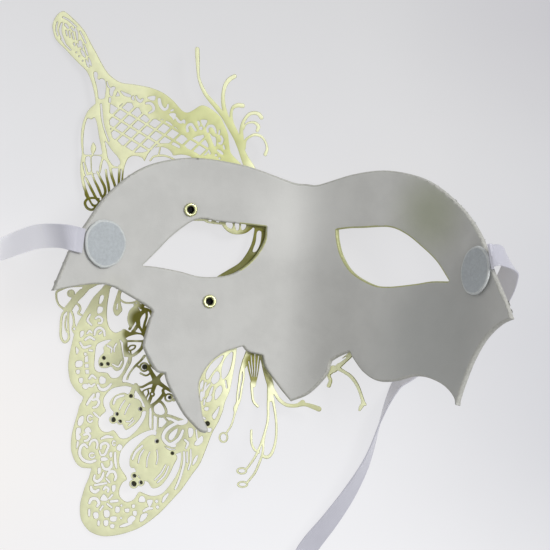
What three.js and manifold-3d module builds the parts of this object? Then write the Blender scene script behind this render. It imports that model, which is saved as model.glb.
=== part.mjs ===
// Masquerade half mask: a curved plastic shell, an etched metal butterfly sheet riveted to its front,
// stones on the sheet, and a ribbon on each side under a round pad.
// Millimetres, +Z up. The mask lies face down, so its hollow side faces up. Its origin is on the
// surface that it lies on, in the middle of its outline.
import * as THREE from "three";
import { mergeVertices } from "three/addons/utils/BufferGeometryUtils.js";
import Module from "manifold-3d";

const wasm = await Module();
wasm.setup();

// ---------- driving dimensions ----------
const SHELL_T = 2.0; // shell wall
const SHEET_T = 0.6; // etched sheet
const SHEET_GAP = 1.2; // from the shell's front face to the sheet's front face, at its nearest
const ARC_R = 96; // side-to-side curve of the shell
const ROLL = THREE.MathUtils.degToRad(11); // the mask lies rolled over to its left
const TURN = THREE.MathUtils.degToRad(4.5); // and turned a little on the table
const STEEPEST_RIGHT = THREE.MathUtils.degToRad(59); // the sides run straight past these slopes
const STEEPEST_LEFT = THREE.MathUtils.degToRad(-38);
const CENTRE = [9.6, 1.9];
const LIFT = 9.1;
const WING_SLOPE = 0.172; // the wings rise from the table towards the nose
const RIVET_SHANK_R = 1.5;
const RIVET_HEAD_R = 2.5;
const RIVET_BORE_R = 1.15;
const RIVET_HOLE_R = 1.85;
const PAD_R = 8.8;
const PAD_T = 0.9;
const RIBBON_W = 9;
const RIBBON_T = 0.5;
const STONE_H = 1.0;
const GRID = 6.4; // facet size of the curved surfaces
const EDGE_STEP = 4.2;
const WING_STEP = 4.6;
const ROLL_R = 28; // outermost turn of a rolled ribbon
const ROLL_PITCH = 3.4;
const LEFT_ROLL = { at: [-134, -24], turns: 2.5 };
const RIGHT_ROLL = { at: [-29, -138], turns: 1.5 };
const RIVET_SEAT_R = 5; // round a rivet the sheet is drawn up parallel to the shell
const ORIGIN_SHIFT = [-0.71, -0.53, 0.11];

// Shell outline on its front face, clockwise from the left tip: one smooth run per line, with a tip or a notch where two runs meet.
const SHELL_EDGE = [
  [[-80.33,-5.73],[-77.88,0.72],[-73.79,10.44],[-68.29,19.51],[-62.54,27.92],[-54.25,35.68],[-45.31,40.56],[-33.73,42.9],[-23.88,42.62],[-14.35,41.02],[-7.73,39.39],[2.21,35.77],[7.75,33.95],[12.17,33.57],[15.48,33.17],[19.5,34.06],[28.93,36.76],[38.29,38.03],[45.78,37.42],[53.86,35.07],[59.95,31.41],[65.84,25.91],[70.47,20.14],[74.46,12.59],[77.07,3.27],[81.31,-8.38],[83.47,-15.35]],
  [[83.47,-15.35],[79.6,-17.6],[75.11,-22.6],[71.07,-30.09],[67.52,-39.48],[65.36,-46.6]],
  [[65.36,-46.6],[63.98,-42.69],[60.5,-39.15],[55.11,-36.86],[50.29,-36.64],[44.36,-38.41],[38.03,-38.57],[33.09,-35.52],[29.44,-30.53],[28.2,-28.01]],
  [[28.2,-28.01],[24.17,-29.84],[21.27,-31.65]],
  [[21.27,-31.65],[19.3,-37.06],[12.87,-43.68],[5.89,-46.67]],
  [[5.89,-46.67],[1.47,-41.45],[-3.68,-34.26],[-5.01,-29.62]],
  [[-5.01,-29.62],[-10.3,-28.25],[-12.21,-26.26]],
  [[-12.21,-26.26],[-16.52,-27.54],[-19.26,-28.61],[-23.22,-31.5],[-26.23,-35.12],[-28.07,-39.1],[-28.27,-42.55],[-27.56,-47.09],[-26.85,-51.79],[-24.97,-56.51],[-25.4,-57.76]],
  [[-25.4,-57.76],[-27.68,-57.04],[-30.74,-54.01],[-33.75,-50.54],[-37.0,-44.72],[-39.56,-39.41],[-40.52,-35.93]],
  [[-40.52,-35.93],[-43.51,-35.21],[-45.87,-31.49],[-48.23,-26.57],[-48.07,-23.67],[-46.67,-18.23],[-45.04,-13.36]],
  [[-45.04,-13.36],[-46.7,-11.67],[-53.15,-7.79],[-59.53,-4.21],[-65.62,-3.26],[-74.78,-4.49],[-80.33,-5.73]],
];

// Left eye opening, from the outer corner over the top and back.
const LEFT_EYE = [
  [[-49.03,3.34],[-43.89,8.44],[-38.06,14.38],[-30.79,19.67],[-26.18,20.64],[-20.91,19.7],[-9.18,18.46],[-3.62,17.84]],
  [[-3.62,17.84],[-4.34,12.58],[-7.92,6.65],[-13.15,1.97],[-18.98,-0.42],[-27.5,-0.74],[-35.36,1.25],[-43.88,2.86],[-49.03,3.34]],
];

// Right eye opening, from the inner corner over the top and back.
const RIGHT_EYE = [
  [[23.71,16.62],[28.04,17.11],[32.59,17.16],[42.01,17.34],[48.26,14.73],[54.43,9.59],[59.29,4.5],[63.5,-2.44]],
  [[63.5,-2.44],[57.44,-2.45],[51.31,-3.44],[41.98,-4.39],[36.28,-3.44],[29.5,0.75],[25.68,6.58],[24.08,12.41],[23.71,16.62]],
];

// Upper wing of the etched sheet: outline runs from the apex lobe down the left side and back along the top border.
const UPPER_WING = [
  [[-81.54,94.45],[-82.25,92.13],[-81.54,88.57],[-80.34,86.4],[-77.27,83.33],[-74.39,80.19],[-71.77,77.57],[-69.42,75.22],[-67.93,72.14],[-67.0,69.03],[-66.29,65.51],[-66.1,63.26]],
  [[-66.1,63.26],[-68.45,61.18],[-69.9,58.83],[-71.06,55.55],[-71.54,52.08],[-71.54,48.39],[-71.21,44.95],[-71.81,40.26],[-71.66,36.57],[-70.91,32.5],[-69.42,28.8],[-67.56,25.47]],
  [[-67.56,25.47],[-63.83,23.98],[-57.88,25.07],[-52.68,26.52],[-46.0,26.13],[-40.07,24.27],[-34.9,21.31]],
  [[-34.9,21.31],[-30.51,20.04],[-25.75,19.87],[-20.98,19.29],[-19.33,19.15]],
  [[-19.33,19.15],[-17.49,16.94],[-14.37,15.62],[-10.69,16.41],[-8.78,19.36]],
  [[-8.78,19.36],[-9.95,23.23],[-10.5,27.64],[-10.61,32.8],[-10.68,37.95]],
  [[-10.68,37.95],[-12.71,41.06],[-14.8,43.15],[-16.42,45.27],[-16.93,48.28],[-17.36,51.79],[-18.53,54.79],[-19.92,57.86],[-22.05,59.93],[-24.83,61.78],[-27.18,62.25],[-29.53,60.86],[-31.85,59.69],[-33.73,60.14],[-35.39,61.8],[-37.75,64.4],[-41.23,67.01],[-45.93,68.93],[-51.86,70.17],[-56.58,70.84],[-60.11,73.02],[-62.27,75.36],[-64.39,78.97],[-66.07,82.24],[-67.94,85.55],[-69.88,89.38],[-72.04,92.22],[-74.4,94.61],[-76.79,96.76],[-78.4,97.48],[-80.34,96.32],[-81.54,94.45]],
];

// Windows of the upper wing.
const UPPER_WINDOWS = [
  [[-79.52,93.94],[-77.65,93.55],[-75.59,90.19],[-75.03,86.86],[-76.52,85.39],[-78.39,87.27],[-79.7,90.62]],
  [[-74.28,84.63],[-72.41,83.87],[-70.17,80.51],[-68.68,77.17],[-70.54,78.67],[-73.53,82.03]],
  [[-65.92,74.37],[-64.58,73.8],[-62.9,71.57],[-62.71,68.25],[-63.46,65.49],[-64.76,65.5],[-65.51,69.75]],
  [[-69.05,58.71],[-66.81,61.46],[-66.21,55.36],[-65.69,48.71],[-70.16,48.75],[-70.31,53.55]],
  [[-69.94,47.08],[-65.32,47.05],[-64.2,42.43],[-65.69,36.9],[-69.79,35.08],[-70.54,41.36]],
  [[-63.08,42.42],[-61.22,39.46],[-61.97,34.3],[-63.08,31.36],[-65.69,31.37],[-64.2,38.0]],
  [[-56.57,40.73],[-54.16,42.37],[-51.19,42.79],[-48.59,42.15],[-47.85,40.68],[-50.82,39.4],[-53.79,36.47],[-56.58,35.01]],
  [[-46.37,42.14],[-43.78,44.59],[-41.56,45.68],[-39.34,44.56],[-38.23,43.38],[-39.71,42.1],[-43.78,41.2]],
  [[-57.88,31.33],[-54.9,35.01],[-49.71,37.92],[-45.26,39.37],[-43.78,36.42],[-47.48,33.5],[-51.93,30.57],[-56.39,28.75]],
  [[-42.3,38.62],[-36.76,40.25],[-31.98,40.06],[-31.25,34.92],[-35.65,31.24],[-40.08,31.99]],
  [[-29.04,40.07],[-23.18,39.73],[-18.04,38.29],[-17.31,33.51],[-21.72,30.55],[-26.11,32.74]],
  [[-25.38,28.33],[-20.98,27.61],[-15.84,29.1],[-14.37,25.42],[-18.05,22.83],[-23.92,23.18]],
];

// The part of the upper wing that holds the diamond lattice.
const LATTICE_FIELD = [[-60.11,61.58],[-57.88,63.41],[-51.93,62.25],[-46.0,60.72],[-41.19,59.21],[-36.38,56.23],[-31.23,52.91],[-26.46,50.72],[-22.8,47.44],[-19.5,43.05],[-25.37,42.29],[-31.24,45.2],[-36.39,45.94],[-41.71,48.55],[-46.0,46.0],[-48.22,44.17],[-51.93,45.3],[-56.02,44.22],[-59.36,47.56],[-61.22,52.0],[-62.34,56.81]];

// Lower wing of the etched sheet: outline runs down the left side and back up the right.
const LOWER_WING = [
  [[-63.1,-4.21],[-67.76,-9.6],[-71.31,-16.0],[-73.26,-20.22],[-74.94,-25.44],[-75.88,-30.14],[-76.37,-34.88],[-75.82,-37.87],[-74.4,-41.19],[-72.01,-43.77],[-70.6,-45.17]],
  [[-70.6,-45.17],[-71.79,-48.24],[-73.44,-52.51],[-74.87,-57.23],[-75.14,-61.56],[-75.15,-65.12],[-73.73,-68.63],[-71.57,-70.97],[-67.76,-71.64]],
  [[-67.76,-71.64],[-68.96,-75.65],[-70.87,-80.42],[-71.96,-85.17],[-71.86,-89.4],[-70.19,-92.94],[-67.57,-95.5],[-61.72,-96.46],[-53.3,-94.86],[-48.57,-91.95],[-43.86,-87.86],[-38.66,-83.11],[-36.96,-81.94],[-33.4,-77.62],[-28.67,-70.57],[-25.16,-63.47],[-21.66,-55.72],[-18.09,-48.22],[-16.53,-37.97],[-14.23,-27.37]],
  [[-14.23,-27.37],[-14.17,-20.24],[-14.36,-12.89],[-14.55,-7.0],[-15.47,-3.31]],
  [[-15.47,-3.31],[-19.5,-2.58],[-24.63,-3.68],[-30.5,-3.31],[-36.39,-2.21],[-42.31,-1.84],[-48.24,-2.95],[-54.17,-2.58],[-59.38,-2.21],[-63.1,-4.21]],
];

// Windows of the lower wing: the drop, the gaps round the three medallions and the scroll work.
const LOWER_WINDOWS = [
  [[-61.61,-5.9],[-57.89,-4.42],[-54.92,-6.63],[-54.18,-11.06],[-54.92,-15.85],[-56.78,-19.91],[-60.13,-20.29],[-61.99,-15.87],[-62.36,-10.7]],
  [[-64.6,-23.63],[-66.66,-26.59],[-67.97,-32.14],[-65.36,-35.45],[-63.5,-34.33],[-64.05,-30.64],[-63.49,-26.58],[-62.0,-24.36]],
  [[-62.38,-36.91],[-59.48,-37.86],[-56.61,-36.66],[-54.75,-32.81],[-54.64,-28.39],[-55.67,-25.44],[-55.68,-30.6],[-56.98,-34.67],[-60.15,-35.79]],
  [[-62.02,-43.93],[-58.66,-41.77],[-52.05,-41.28],[-48.63,-43.84],[-46.86,-48.26],[-48.15,-48.12],[-50.49,-44.96],[-54.42,-42.4],[-58.29,-43.72],[-61.27,-45.77]],
  [[-63.14,-46.89],[-61.65,-47.62],[-60.35,-50.94],[-56.82,-55.16],[-53.85,-57.53],[-50.87,-54.37],[-48.64,-50.11],[-47.3,-50.47],[-49.39,-56.02],[-52.73,-59.37],[-56.45,-60.14],[-60.17,-57.59],[-63.33,-56.13]],
  [[-56.83,-68.64],[-55.71,-65.31],[-51.99,-61.36],[-46.42,-58.73],[-41.23,-57.95],[-41.97,-59.13],[-47.16,-60.28],[-51.25,-63.05],[-53.86,-67.14],[-54.98,-70.47]],
  [[-54.61,-71.95],[-52.0,-72.66],[-47.92,-77.05],[-44.96,-79.16],[-40.14,-74.75],[-36.95,-69.74],[-35.54,-66.22],[-34.36,-66.21],[-35.06,-70.64],[-38.1,-76.57],[-41.62,-79.93],[-45.0,-81.3],[-49.97,-79.95],[-53.88,-82.66],[-57.22,-79.37]],
  [[-39.38,-60.73],[-36.79,-56.66],[-33.83,-54.05],[-32.72,-56.25],[-33.47,-61.05],[-35.69,-64.01]],
  [[-69.44,-14.78],[-67.58,-11.82],[-65.34,-11.07],[-64.6,-13.66],[-66.09,-16.61],[-68.7,-18.84],[-70.94,-18.84]],
  [[-72.06,-21.43],[-69.82,-20.32],[-66.84,-19.94],[-67.21,-23.27],[-69.83,-25.12],[-72.81,-25.13]],
  [[-73.56,-26.99],[-70.57,-26.6],[-69.08,-28.45],[-69.83,-31.41],[-72.45,-32.9],[-74.31,-31.43]],
  [[-74.13,-34.75],[-71.33,-34.0],[-69.09,-35.47],[-67.6,-38.42],[-69.1,-41.38],[-72.08,-39.92],[-73.95,-37.34]],
  [[-69.1,-43.23],[-65.74,-40.26],[-62.38,-40.24],[-63.13,-42.83],[-65.37,-45.43],[-68.36,-46.93]],
  [[-70.6,-49.53],[-67.99,-48.4],[-65.0,-49.12],[-65.38,-52.45],[-68.37,-53.95],[-71.73,-53.24]],
  [[-72.85,-55.1],[-69.86,-55.08],[-66.13,-55.05],[-65.39,-58.0],[-68.37,-59.5],[-73.23,-59.18]],
  [[-73.23,-61.03],[-69.12,-60.99],[-65.76,-60.96],[-66.14,-64.29],[-69.88,-65.81],[-73.24,-64.73]],
  [[-71.75,-66.94],[-67.64,-66.9],[-63.91,-65.38],[-60.18,-64.61],[-59.81,-67.56],[-62.42,-69.81],[-67.64,-69.86],[-70.63,-69.15]],
  [[-66.15,-72.07],[-61.68,-71.65],[-59.45,-73.48],[-60.2,-76.44],[-63.92,-77.97],[-66.91,-75.78]],
  [[-69.15,-78.77],[-65.42,-79.46],[-63.19,-82.4],[-64.68,-85.75],[-68.42,-86.17],[-69.91,-83.22]],
  [[-69.54,-88.04],[-65.81,-87.62],[-62.45,-89.06],[-60.96,-92.0],[-63.21,-94.25],[-67.31,-93.2]],
  [[-61.69,-80.9],[-58.72,-83.09],[-55.74,-85.27],[-56.49,-88.24],[-59.84,-87.54],[-62.07,-84.61]],
  [[-59.1,-91.24],[-55.0,-88.59],[-52.03,-89.66],[-52.77,-92.63],[-57.24,-93.8]],
  [[-53.14,-84.87],[-49.05,-82.97],[-45.33,-83.3],[-46.08,-86.63],[-49.8,-89.26],[-52.77,-87.82]],
  [[-42.37,-81.78],[-38.66,-78.79],[-35.69,-75.44],[-34.96,-78.01],[-37.92,-80.99],[-41.26,-83.99]],
  [[-33.47,-71.73],[-31.25,-66.18],[-28.67,-63.58],[-27.56,-66.51],[-29.78,-70.22],[-32.74,-74.67]],
  [[-32.73,-60.67],[-30.51,-56.97],[-27.56,-58.42],[-27.56,-61.73],[-30.14,-64.33],[-32.36,-63.98]],
  [[-26.45,-58.41],[-24.97,-53.62],[-23.5,-49.56],[-21.29,-50.28],[-22.76,-54.7],[-25.34,-60.61]],
  [[-26.07,-45.91],[-25.34,-41.49],[-23.13,-38.55],[-20.92,-40.01],[-21.66,-45.15],[-24.23,-48.83]],
  [[-23.13,-34.88],[-19.47,-31.22],[-16.54,-30.5],[-17.26,-34.89],[-19.09,-37.82],[-21.66,-37.08]],
  [[-19.45,-41.48],[-17.99,-39.29],[-18.35,-44.41],[-20.55,-48.08],[-20.55,-44.41]],
  [[-55.7,-57.18],[-51.25,-59.36],[-46.79,-56.37],[-46.05,-53.41],[-43.08,-55.6],[-43.82,-57.45],[-49.76,-60.45]],
  [[-46.04,-46.04],[-43.07,-44.55],[-39.37,-47.47],[-35.68,-51.86],[-38.64,-54.09],[-42.34,-52.65],[-45.3,-50.46]],
  [[-52.71,-35.75],[-49.0,-34.26],[-46.03,-37.19],[-43.81,-40.87],[-46.04,-43.46],[-49.74,-41.64],[-52.34,-38.7]],
  [[-53.45,-28.38],[-51.22,-25.79],[-49.36,-28.37],[-47.51,-32.78],[-50.48,-32.79],[-53.08,-31.33]],
  [[-54.19,-22.49],[-51.95,-17.32],[-48.98,-13.63],[-47.87,-17.31],[-49.36,-22.47],[-52.33,-24.69]],
  [[-46.01,-6.26],[-40.83,-4.78],[-36.39,-5.51],[-36.39,-9.93],[-40.83,-12.87],[-44.53,-10.67]],
  [[-33.44,-5.51],[-28.29,-5.51],[-27.55,-11.39],[-29.02,-15.8],[-33.44,-14.33]],
  [[-43.8,-16.56],[-39.35,-14.34],[-34.92,-16.54],[-34.92,-22.42],[-40.1,-24.65],[-44.54,-21.72]],
  [[-31.97,-18.74],[-26.82,-17.26],[-25.34,-23.14],[-29.02,-27.55],[-33.44,-26.09]],
  [[-44.54,-27.61],[-39.36,-26.85],[-36.4,-29.78],[-38.62,-33.47],[-43.06,-33.49]],
  [[-34.19,-29.77],[-29.76,-29.76],[-29.76,-34.9],[-32.71,-40.06],[-36.41,-36.41]],
  [[-20.96,-6.25],[-17.3,-6.26],[-16.56,-12.88],[-19.49,-16.54],[-21.69,-13.6]],
  [[-23.15,-18.74],[-18.75,-18.02],[-16.55,-22.43],[-19.47,-26.09],[-23.14,-25.34]],
];

// Butterfly body along the inner corner of the left eye.
const BODY_EDGE = [[-8.63,32.8],[-6.27,34.29],[-4.06,31.36],[-2.58,25.84],[-1.11,19.58],[0.0,12.94],[-0.37,5.55],[-1.85,-3.7],[-2.59,-12.93],[-4.06,-22.15],[-4.8,-28.4],[-9.94,-28.36],[-11.78,-25.77],[-12.7,-18.41],[-12.89,-11.05],[-13.08,-5.53],[-14.0,-1.84],[-18.04,-2.02],[-21.7,-1.1],[-18.04,1.47],[-12.9,4.79],[-9.22,10.33],[-7.75,15.86],[-7.75,19.55],[-8.48,23.23],[-9.03,27.65]];

// Windows of the body.
const BODY_WINDOWS = [
  [[-6.45,28.77],[-5.16,28.77],[-4.06,24.73],[-3.51,20.67],[-4.8,19.93],[-5.72,23.98]],
  [[-6.64,15.87],[-5.17,15.87],[-5.54,11.81],[-7.01,8.86],[-8.3,8.85],[-7.2,12.18]],
  [[-9.96,1.11],[-4.8,4.8],[-3.32,3.32],[-4.06,-1.85],[-7.75,-4.8],[-10.69,-3.32]],
  [[-10.69,-7.74],[-5.54,-5.54],[-4.8,-9.97],[-6.27,-15.87],[-9.95,-16.59]],
  [[-9.95,-19.53],[-6.27,-18.82],[-7.01,-24.71],[-9.21,-25.42]],
];

// Antennae, tail tendrils and nose sprigs: runs of [x, y, width].
const SPRAY = {
  a1: [[-28.89,83.34,1.46],[-29.3,81.0,1.46],[-28.89,76.8,1.31],[-28.05,71.96,1.31],[-26.8,68.37,1.38],[-24.68,65.22,1.46],[-21.86,63.0,1.64],[-18.75,59.54,1.82],[-16.37,55.17,1.82],[-13.43,50.05,1.82],[-10.86,45.29,2.19],[-8.84,40.89,2.55],[-7.37,36.49,2.92],[-6.64,31.34,3.28]],
  a2: [[-14.54,72.81,1.46],[-16.52,72.58,1.24],[-18.14,70.68,1.24],[-19.21,67.76,1.24],[-19.32,64.18,1.31],[-18.38,59.91,1.46]],
  a3: [[-11.62,62.36,1.46],[-13.75,62.49,1.24],[-15.62,62.12,1.24],[-16.25,59.92,1.24],[-16.25,56.27,1.31],[-15.82,52.61,1.46]],
  a4: [[-5.08,57.33,1.6],[-5.89,59.01,1.24],[-8.09,59.41,1.24],[-10.15,58.56,1.24],[-11.63,56.47,1.24],[-12.44,53.36,1.31],[-12.88,48.59,1.46]],
  a6: [[-3.72,44.44,1.6],[-3.06,47.52,1.31],[-4.6,50.08,1.31],[-7.0,50.88,1.31],[-10.31,50.21,1.31],[-12.88,48.59,1.46]],
  t1: [[-8.84,-25.8,2.92],[-11.77,-35.68,1.46],[-15.05,-47.72,1.24],[-18.53,-59.81,1.82]],
  t2: [[-8.11,-25.8,2.92],[-7.73,-36.83,1.46],[-8.45,-51.43,1.24],[-10.26,-64.15,1.24],[-12.47,-71.88,1.82]],
  t3: [[-5.9,-27.66,2.92],[-3.5,-35.77,2.19],[-3.13,-43.11,1.46],[-2.76,-53.32,1.24],[-4.76,-64.87,1.17],[-8.43,-74.41,1.17],[-11.74,-77.01,1.82]],
  t4: [[-3.5,-38.71,1.82],[-1.11,-46.05,1.31],[0.18,-53.35,1.31],[-0.18,-60.56,1.24],[-3.3,-65.96,1.46]],
  t5: [[-4.06,-35.76,2.19],[-1.84,-40.55,1.46],[1.84,-44.6,1.31],[6.26,-45.69,1.46],[9.94,-46.03,1.46],[13.6,-47.24,2.19],[16.16,-47.37,2.19]],
  s1: [[-2.59,4.8,2.92],[3.33,1.85,1.82],[10.72,-2.96,1.82],[17.33,-10.32,1.82],[23.13,-20.19,1.82],[27.44,-27.44,1.82],[25.63,-31.12,1.82],[22.73,-33.91,2.19],[25.61,-34.76,1.82],[28.47,-37.96,1.46],[30.62,-42.28,1.46],[31.87,-46.26,1.46],[31.33,-48.45,1.82]],
  s2: [[22.73,-33.91,1.82],[20.56,-35.6,1.46],[20.73,-38.52,1.46],[19.81,-40.73,1.46]],
};

// Small loops at the lower wing's upper left corner: runs of [x, y, width].
const CORNER_LOOPS = {
  l1: [[-76.16,-4.07,1.46],[-79.52,-5.55,1.24],[-80.87,-6.66,1.24],[-80.39,-9.62,1.24],[-78.48,-11.98,1.24],[-75.79,-12.46,2.19],[-72.05,-7.76,2.19],[-68.32,-4.43,2.19],[-62.35,-3.32,2.19]],
  l2: [[-75.79,-12.46,1.82],[-78.41,-15.05,1.17],[-78.97,-18.35,1.17],[-79.24,-23.08,1.17],[-77.78,-24.78,1.24],[-76.17,-23.07,1.17],[-76.73,-19.52,1.17],[-76.73,-15.05,1.17],[-75.79,-12.46,1.46]],
  l3: [[-73.55,-10.72,1.82],[-73.92,-14.78,1.24],[-74.34,-19.96,1.6],[-73.74,-21.44,1.46]],
};

// Stones: [x, y, radius] on the sheet.
const STONES = [[-63.16,-30.56,0.69],[-64.05,-33.01,0.69],[-61.63,-32.77,0.69],[-48.11,-33.89,1.02],[-53.13,-44.61,0.69],[-49.53,-49.38,0.69],[-58.19,-51.29,0.69],[-59.57,-53.41,0.95],[-57.04,-53.87,0.69],[-43.46,-61.25,0.69],[-37.76,-65.62,0.69],[-51.86,-74.02,0.69],[-52.01,-76.98,1.02],[-49.41,-76.51,0.69],[-24.79,-54.57,0.98],[-38.82,-45.07,0.69]];

// The two rivets' places on the shell's front face.
const RIVET_AT = { upper_rivet: [-31.47,23.89], lower_rivet: [-24.5,-9.92] };

// The two ribbon pads' centres.
const PAD_AT = { left_ribbon_pad: [-63.26,11.34], right_ribbon_pad: [73.6,1.2] };

// Ribbon routes from the pad to the roll: stations of [x, y, z, and a unit vector across the ribbon].
const LEFT_ROUTE = [
  [-68.95,12.27,32.89,0.05,0.999,0.0],
  [-70.27,12.58,34.17,0.05,0.999,0.0],
  [-72.0,13.07,35.38,0.05,0.999,0.02],
  [-75.07,13.72,35.08,-0.119,0.988,0.099],
  [-78.9,14.16,31.48,-0.116,0.964,0.241],
  [-82.96,14.24,25.08,-0.111,0.923,0.369],
  [-87.11,13.85,17.88,-0.107,0.889,0.445],
  [-91.22,12.82,11.8,-0.249,0.83,0.498],
  [-96.05,11.19,6.4,-0.239,0.796,0.557],
  [-100.68,9.44,3.9,-0.23,0.767,0.599],
  [-106.0,7.4,3.5,-0.185,0.695,0.695],
  [-111.0,6.0,3.9,-0.152,0.531,0.834],
  [-116.5,4.9,4.6,-0.08,0.279,0.957],
  [-122.0,4.2,5.1,0.0,0.05,0.999],
  [-126.0,4.02,5.2,0.0,0.0,1.0],
];
const RIGHT_ROUTE = [
  [75.43,6.39,62.2,0.3,-0.741,0.601],
  [76.11,6.65,64.06,0.3,-0.741,0.601],
  [77.78,7.01,63.7,0.33,-0.8,0.5],
  [79.99,6.67,62.1,0.343,-0.889,0.303],
  [82.26,5.46,57.5,0.382,-0.855,0.352],
  [83.54,3.01,52.0,0.523,-0.576,0.628],
  [83.05,-0.71,46.5,0.621,-0.451,0.641],
  [81.69,-4.65,40.5,0.704,-0.503,0.503],
  [79.45,-8.99,34.0,0.741,-0.543,0.395],
  [75.06,-15.23,24.0,0.743,-0.579,0.338],
  [68.35,-21.93,14.5,0.747,-0.574,0.335],
  [61.02,-27.57,7.9,0.707,-0.566,0.424],
  [53.85,-32.83,3.73,0.5,-0.5,0.707],
  [48.3,-37.24,4.3,0.398,-0.35,0.848],
  [45.19,-39.99,4.6,0.311,-0.21,0.927],
  [41.83,-46.07,4.79,0.151,-0.087,0.985],
  [38.88,-53.8,4.81,-0.016,0.007,1.0],
  [35.56,-64.12,4.77,-0.187,0.091,0.978],
  [32.62,-71.14,4.6,-0.33,0.176,0.927],
  [26.92,-81.12,4.15,-0.51,0.293,0.809],
  [20.66,-90.0,3.68,-0.632,0.344,0.695],
  [11.73,-101.48,3.23,-0.714,0.381,0.588],
  [6.2,-112.3,4.3,-0.609,0.295,0.737],
  [2.6,-119.5,4.9,-0.299,0.12,0.947],
  [0.3,-127.0,5.2,-0.04,0.0,0.999],
  [-0.7,-131.2,5.2,0.0,0.0,1.0],
];


// ---------- curved surfaces ----------
const clamp = THREE.MathUtils.clamp;

// Position across (p) and up (q) the mask.
function acrossUp(x, y) {
  const dx = x - CENTRE[0],
    dy = y - CENTRE[1];
  return [
    dx * Math.cos(TURN) - dy * Math.sin(TURN),
    dx * Math.sin(TURN) + dy * Math.cos(TURN),
  ];
}

// Height of the shell's front face.
function shellFront(x, y) {
  const [p, q] = acrossUp(x, y);
  const a = (p + ARC_R * Math.sin(ROLL)) / ARC_R;
  const s = clamp(a, Math.sin(STEEPEST_LEFT), Math.sin(STEEPEST_RIGHT));
  const arc =
    ARC_R * Math.cos(ROLL) -
    ARC_R * Math.sqrt(1 - s * s) +
    (a - s) * ARC_R * Math.tan(Math.asin(s));
  const qc = clamp(q, -110, 110);
  let ridge = 7.6 - 0.085 * clamp(q, -60, 60);
  ridge /= 1 + Math.exp(-(q + 78) / 9);
  ridge /= 1 + Math.exp((q - 52) / 8);
  const spread = 12.5 + 0.09 * clamp(-q, -40, 60);
  return (
    LIFT +
    arc -
    0.085 * qc +
    (qc * qc) / 560 -
    ridge * Math.exp(-((p + 0.03 * q) ** 2) / (2 * spread * spread))
  );
}

function softMin(a, b, k) {
  const h = Math.max(k - Math.abs(a - b), 0) / k;
  return Math.min(a, b) - (h * h * k) / 4;
}

// Height of the sheet's front face: a slope from the table, bent round the nose under the shell.
function sheetFront(x, y) {
  const slope = WING_SLOPE * (x - (-82.2 - 0.0629 * y + 0.000671 * y * y));
  const under = shellFront(x, y) - SHEET_GAP;
  let z = softMin(slope, under, 4);
  for (const [rx, ry] of Object.values(RIVET_AT)) {
    const seat = Math.exp(-((x - rx) ** 2 + (y - ry) ** 2) / RIVET_SEAT_R ** 2);
    z += (under - 0.15 - z) * seat;
  }
  return z;
}

// Unit normal of a height surface, pointing up.
function normalOf(height, x, y) {
  const e = 0.4;
  return new THREE.Vector3(
    -(height(x + e, y) - height(x - e, y)) / (2 * e),
    -(height(x, y + e) - height(x, y - e)) / (2 * e),
    1,
  ).normalize();
}

// ---------- solids ----------
function solid(geometry) {
  const g = geometry.index ? geometry.toNonIndexed() : geometry.clone();
  g.deleteAttribute("normal");
  g.deleteAttribute("uv");
  const m = mergeVertices(g, 1e-4);
  return new wasm.Manifold(
    new wasm.Mesh({
      numProp: 3,
      vertProperties: m.attributes.position.array,
      triVerts: new Uint32Array(m.index.array),
    }),
  );
}

function geometryOf(manifold) {
  const m = manifold.getMesh();
  return new THREE.BufferGeometry()
    .setAttribute(
      "position",
      new THREE.BufferAttribute(new Float32Array(m.vertProperties), 3),
    )
    .setIndex(new THREE.BufferAttribute(new Uint32Array(m.triVerts), 1));
}

// One smooth closed outline from runs that meet at corners.
function outline(runs, step) {
  const points = [];
  for (const run of runs) {
    const curve = new THREE.SplineCurve(
      run.map(([x, y]) => new THREE.Vector2(x, y)),
    );
    const n = Math.max(1, Math.round(curve.getLength() / step));
    points.push(...curve.getSpacedPoints(n).slice(0, -1));
  }
  return points;
}

const vectors = (list) => list.map(([x, y]) => new THREE.Vector2(x, y));

// A tall upright prism of a closed outline.
function prism(points, low = -30, high = 130) {
  const g = new THREE.ExtrudeGeometry(new THREE.Shape(points), {
    depth: high - low,
    bevelEnabled: false,
  });
  g.translate(0, 0, low);
  return solid(g);
}

function disc(x, y, r, sides = 20) {
  return prism(
    Array.from({ length: sides }, (_, i) => {
      const a = (2 * Math.PI * i) / sides;
      return new THREE.Vector2(x + r * Math.cos(a), y + r * Math.sin(a));
    }),
  );
}

// A prism of a line whose width varies, with blunt ends.
function strokePrism(run) {
  const left = [],
    right = [];
  run.forEach(([x, y, w], i) => {
    const a = run[Math.max(0, i - 1)],
      b = run[Math.min(run.length - 1, i + 1)];
    const l = Math.hypot(b[0] - a[0], b[1] - a[1]),
      nx = (-(b[1] - a[1]) / l) * (w / 2),
      ny = ((b[0] - a[0]) / l) * (w / 2);
    left.push(new THREE.Vector2(x + nx, y + ny));
    right.push(new THREE.Vector2(x - nx, y - ny));
  });
  return prism([...right, ...left.reverse()]);
}

// A thick faceted slab that follows a height surface.
function slab(height, x0, x1, y0, y1, cell, crowd) {
  const nx = Math.ceil((x1 - x0) / cell),
    ny = Math.ceil((y1 - y0) / cell);
  const g = new THREE.BoxGeometry(x1 - x0, y1 - y0, 1, nx, ny, 1);
  const p = g.attributes.position;
  for (let i = 0; i < p.count; i++) {
    // finer towards +X, where the surface bends most
    const t = 1 - Math.max(0, 0.5 - p.getX(i) / (x1 - x0)) ** crowd;
    const x = x0 + t * (x1 - x0),
      y = p.getY(i) + (y0 + y1) / 2;
    p.setXYZ(i, x, y, height(x, y) + (p.getZ(i) > 0 ? 12 : -12));
  }
  return solid(g);
}

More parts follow.
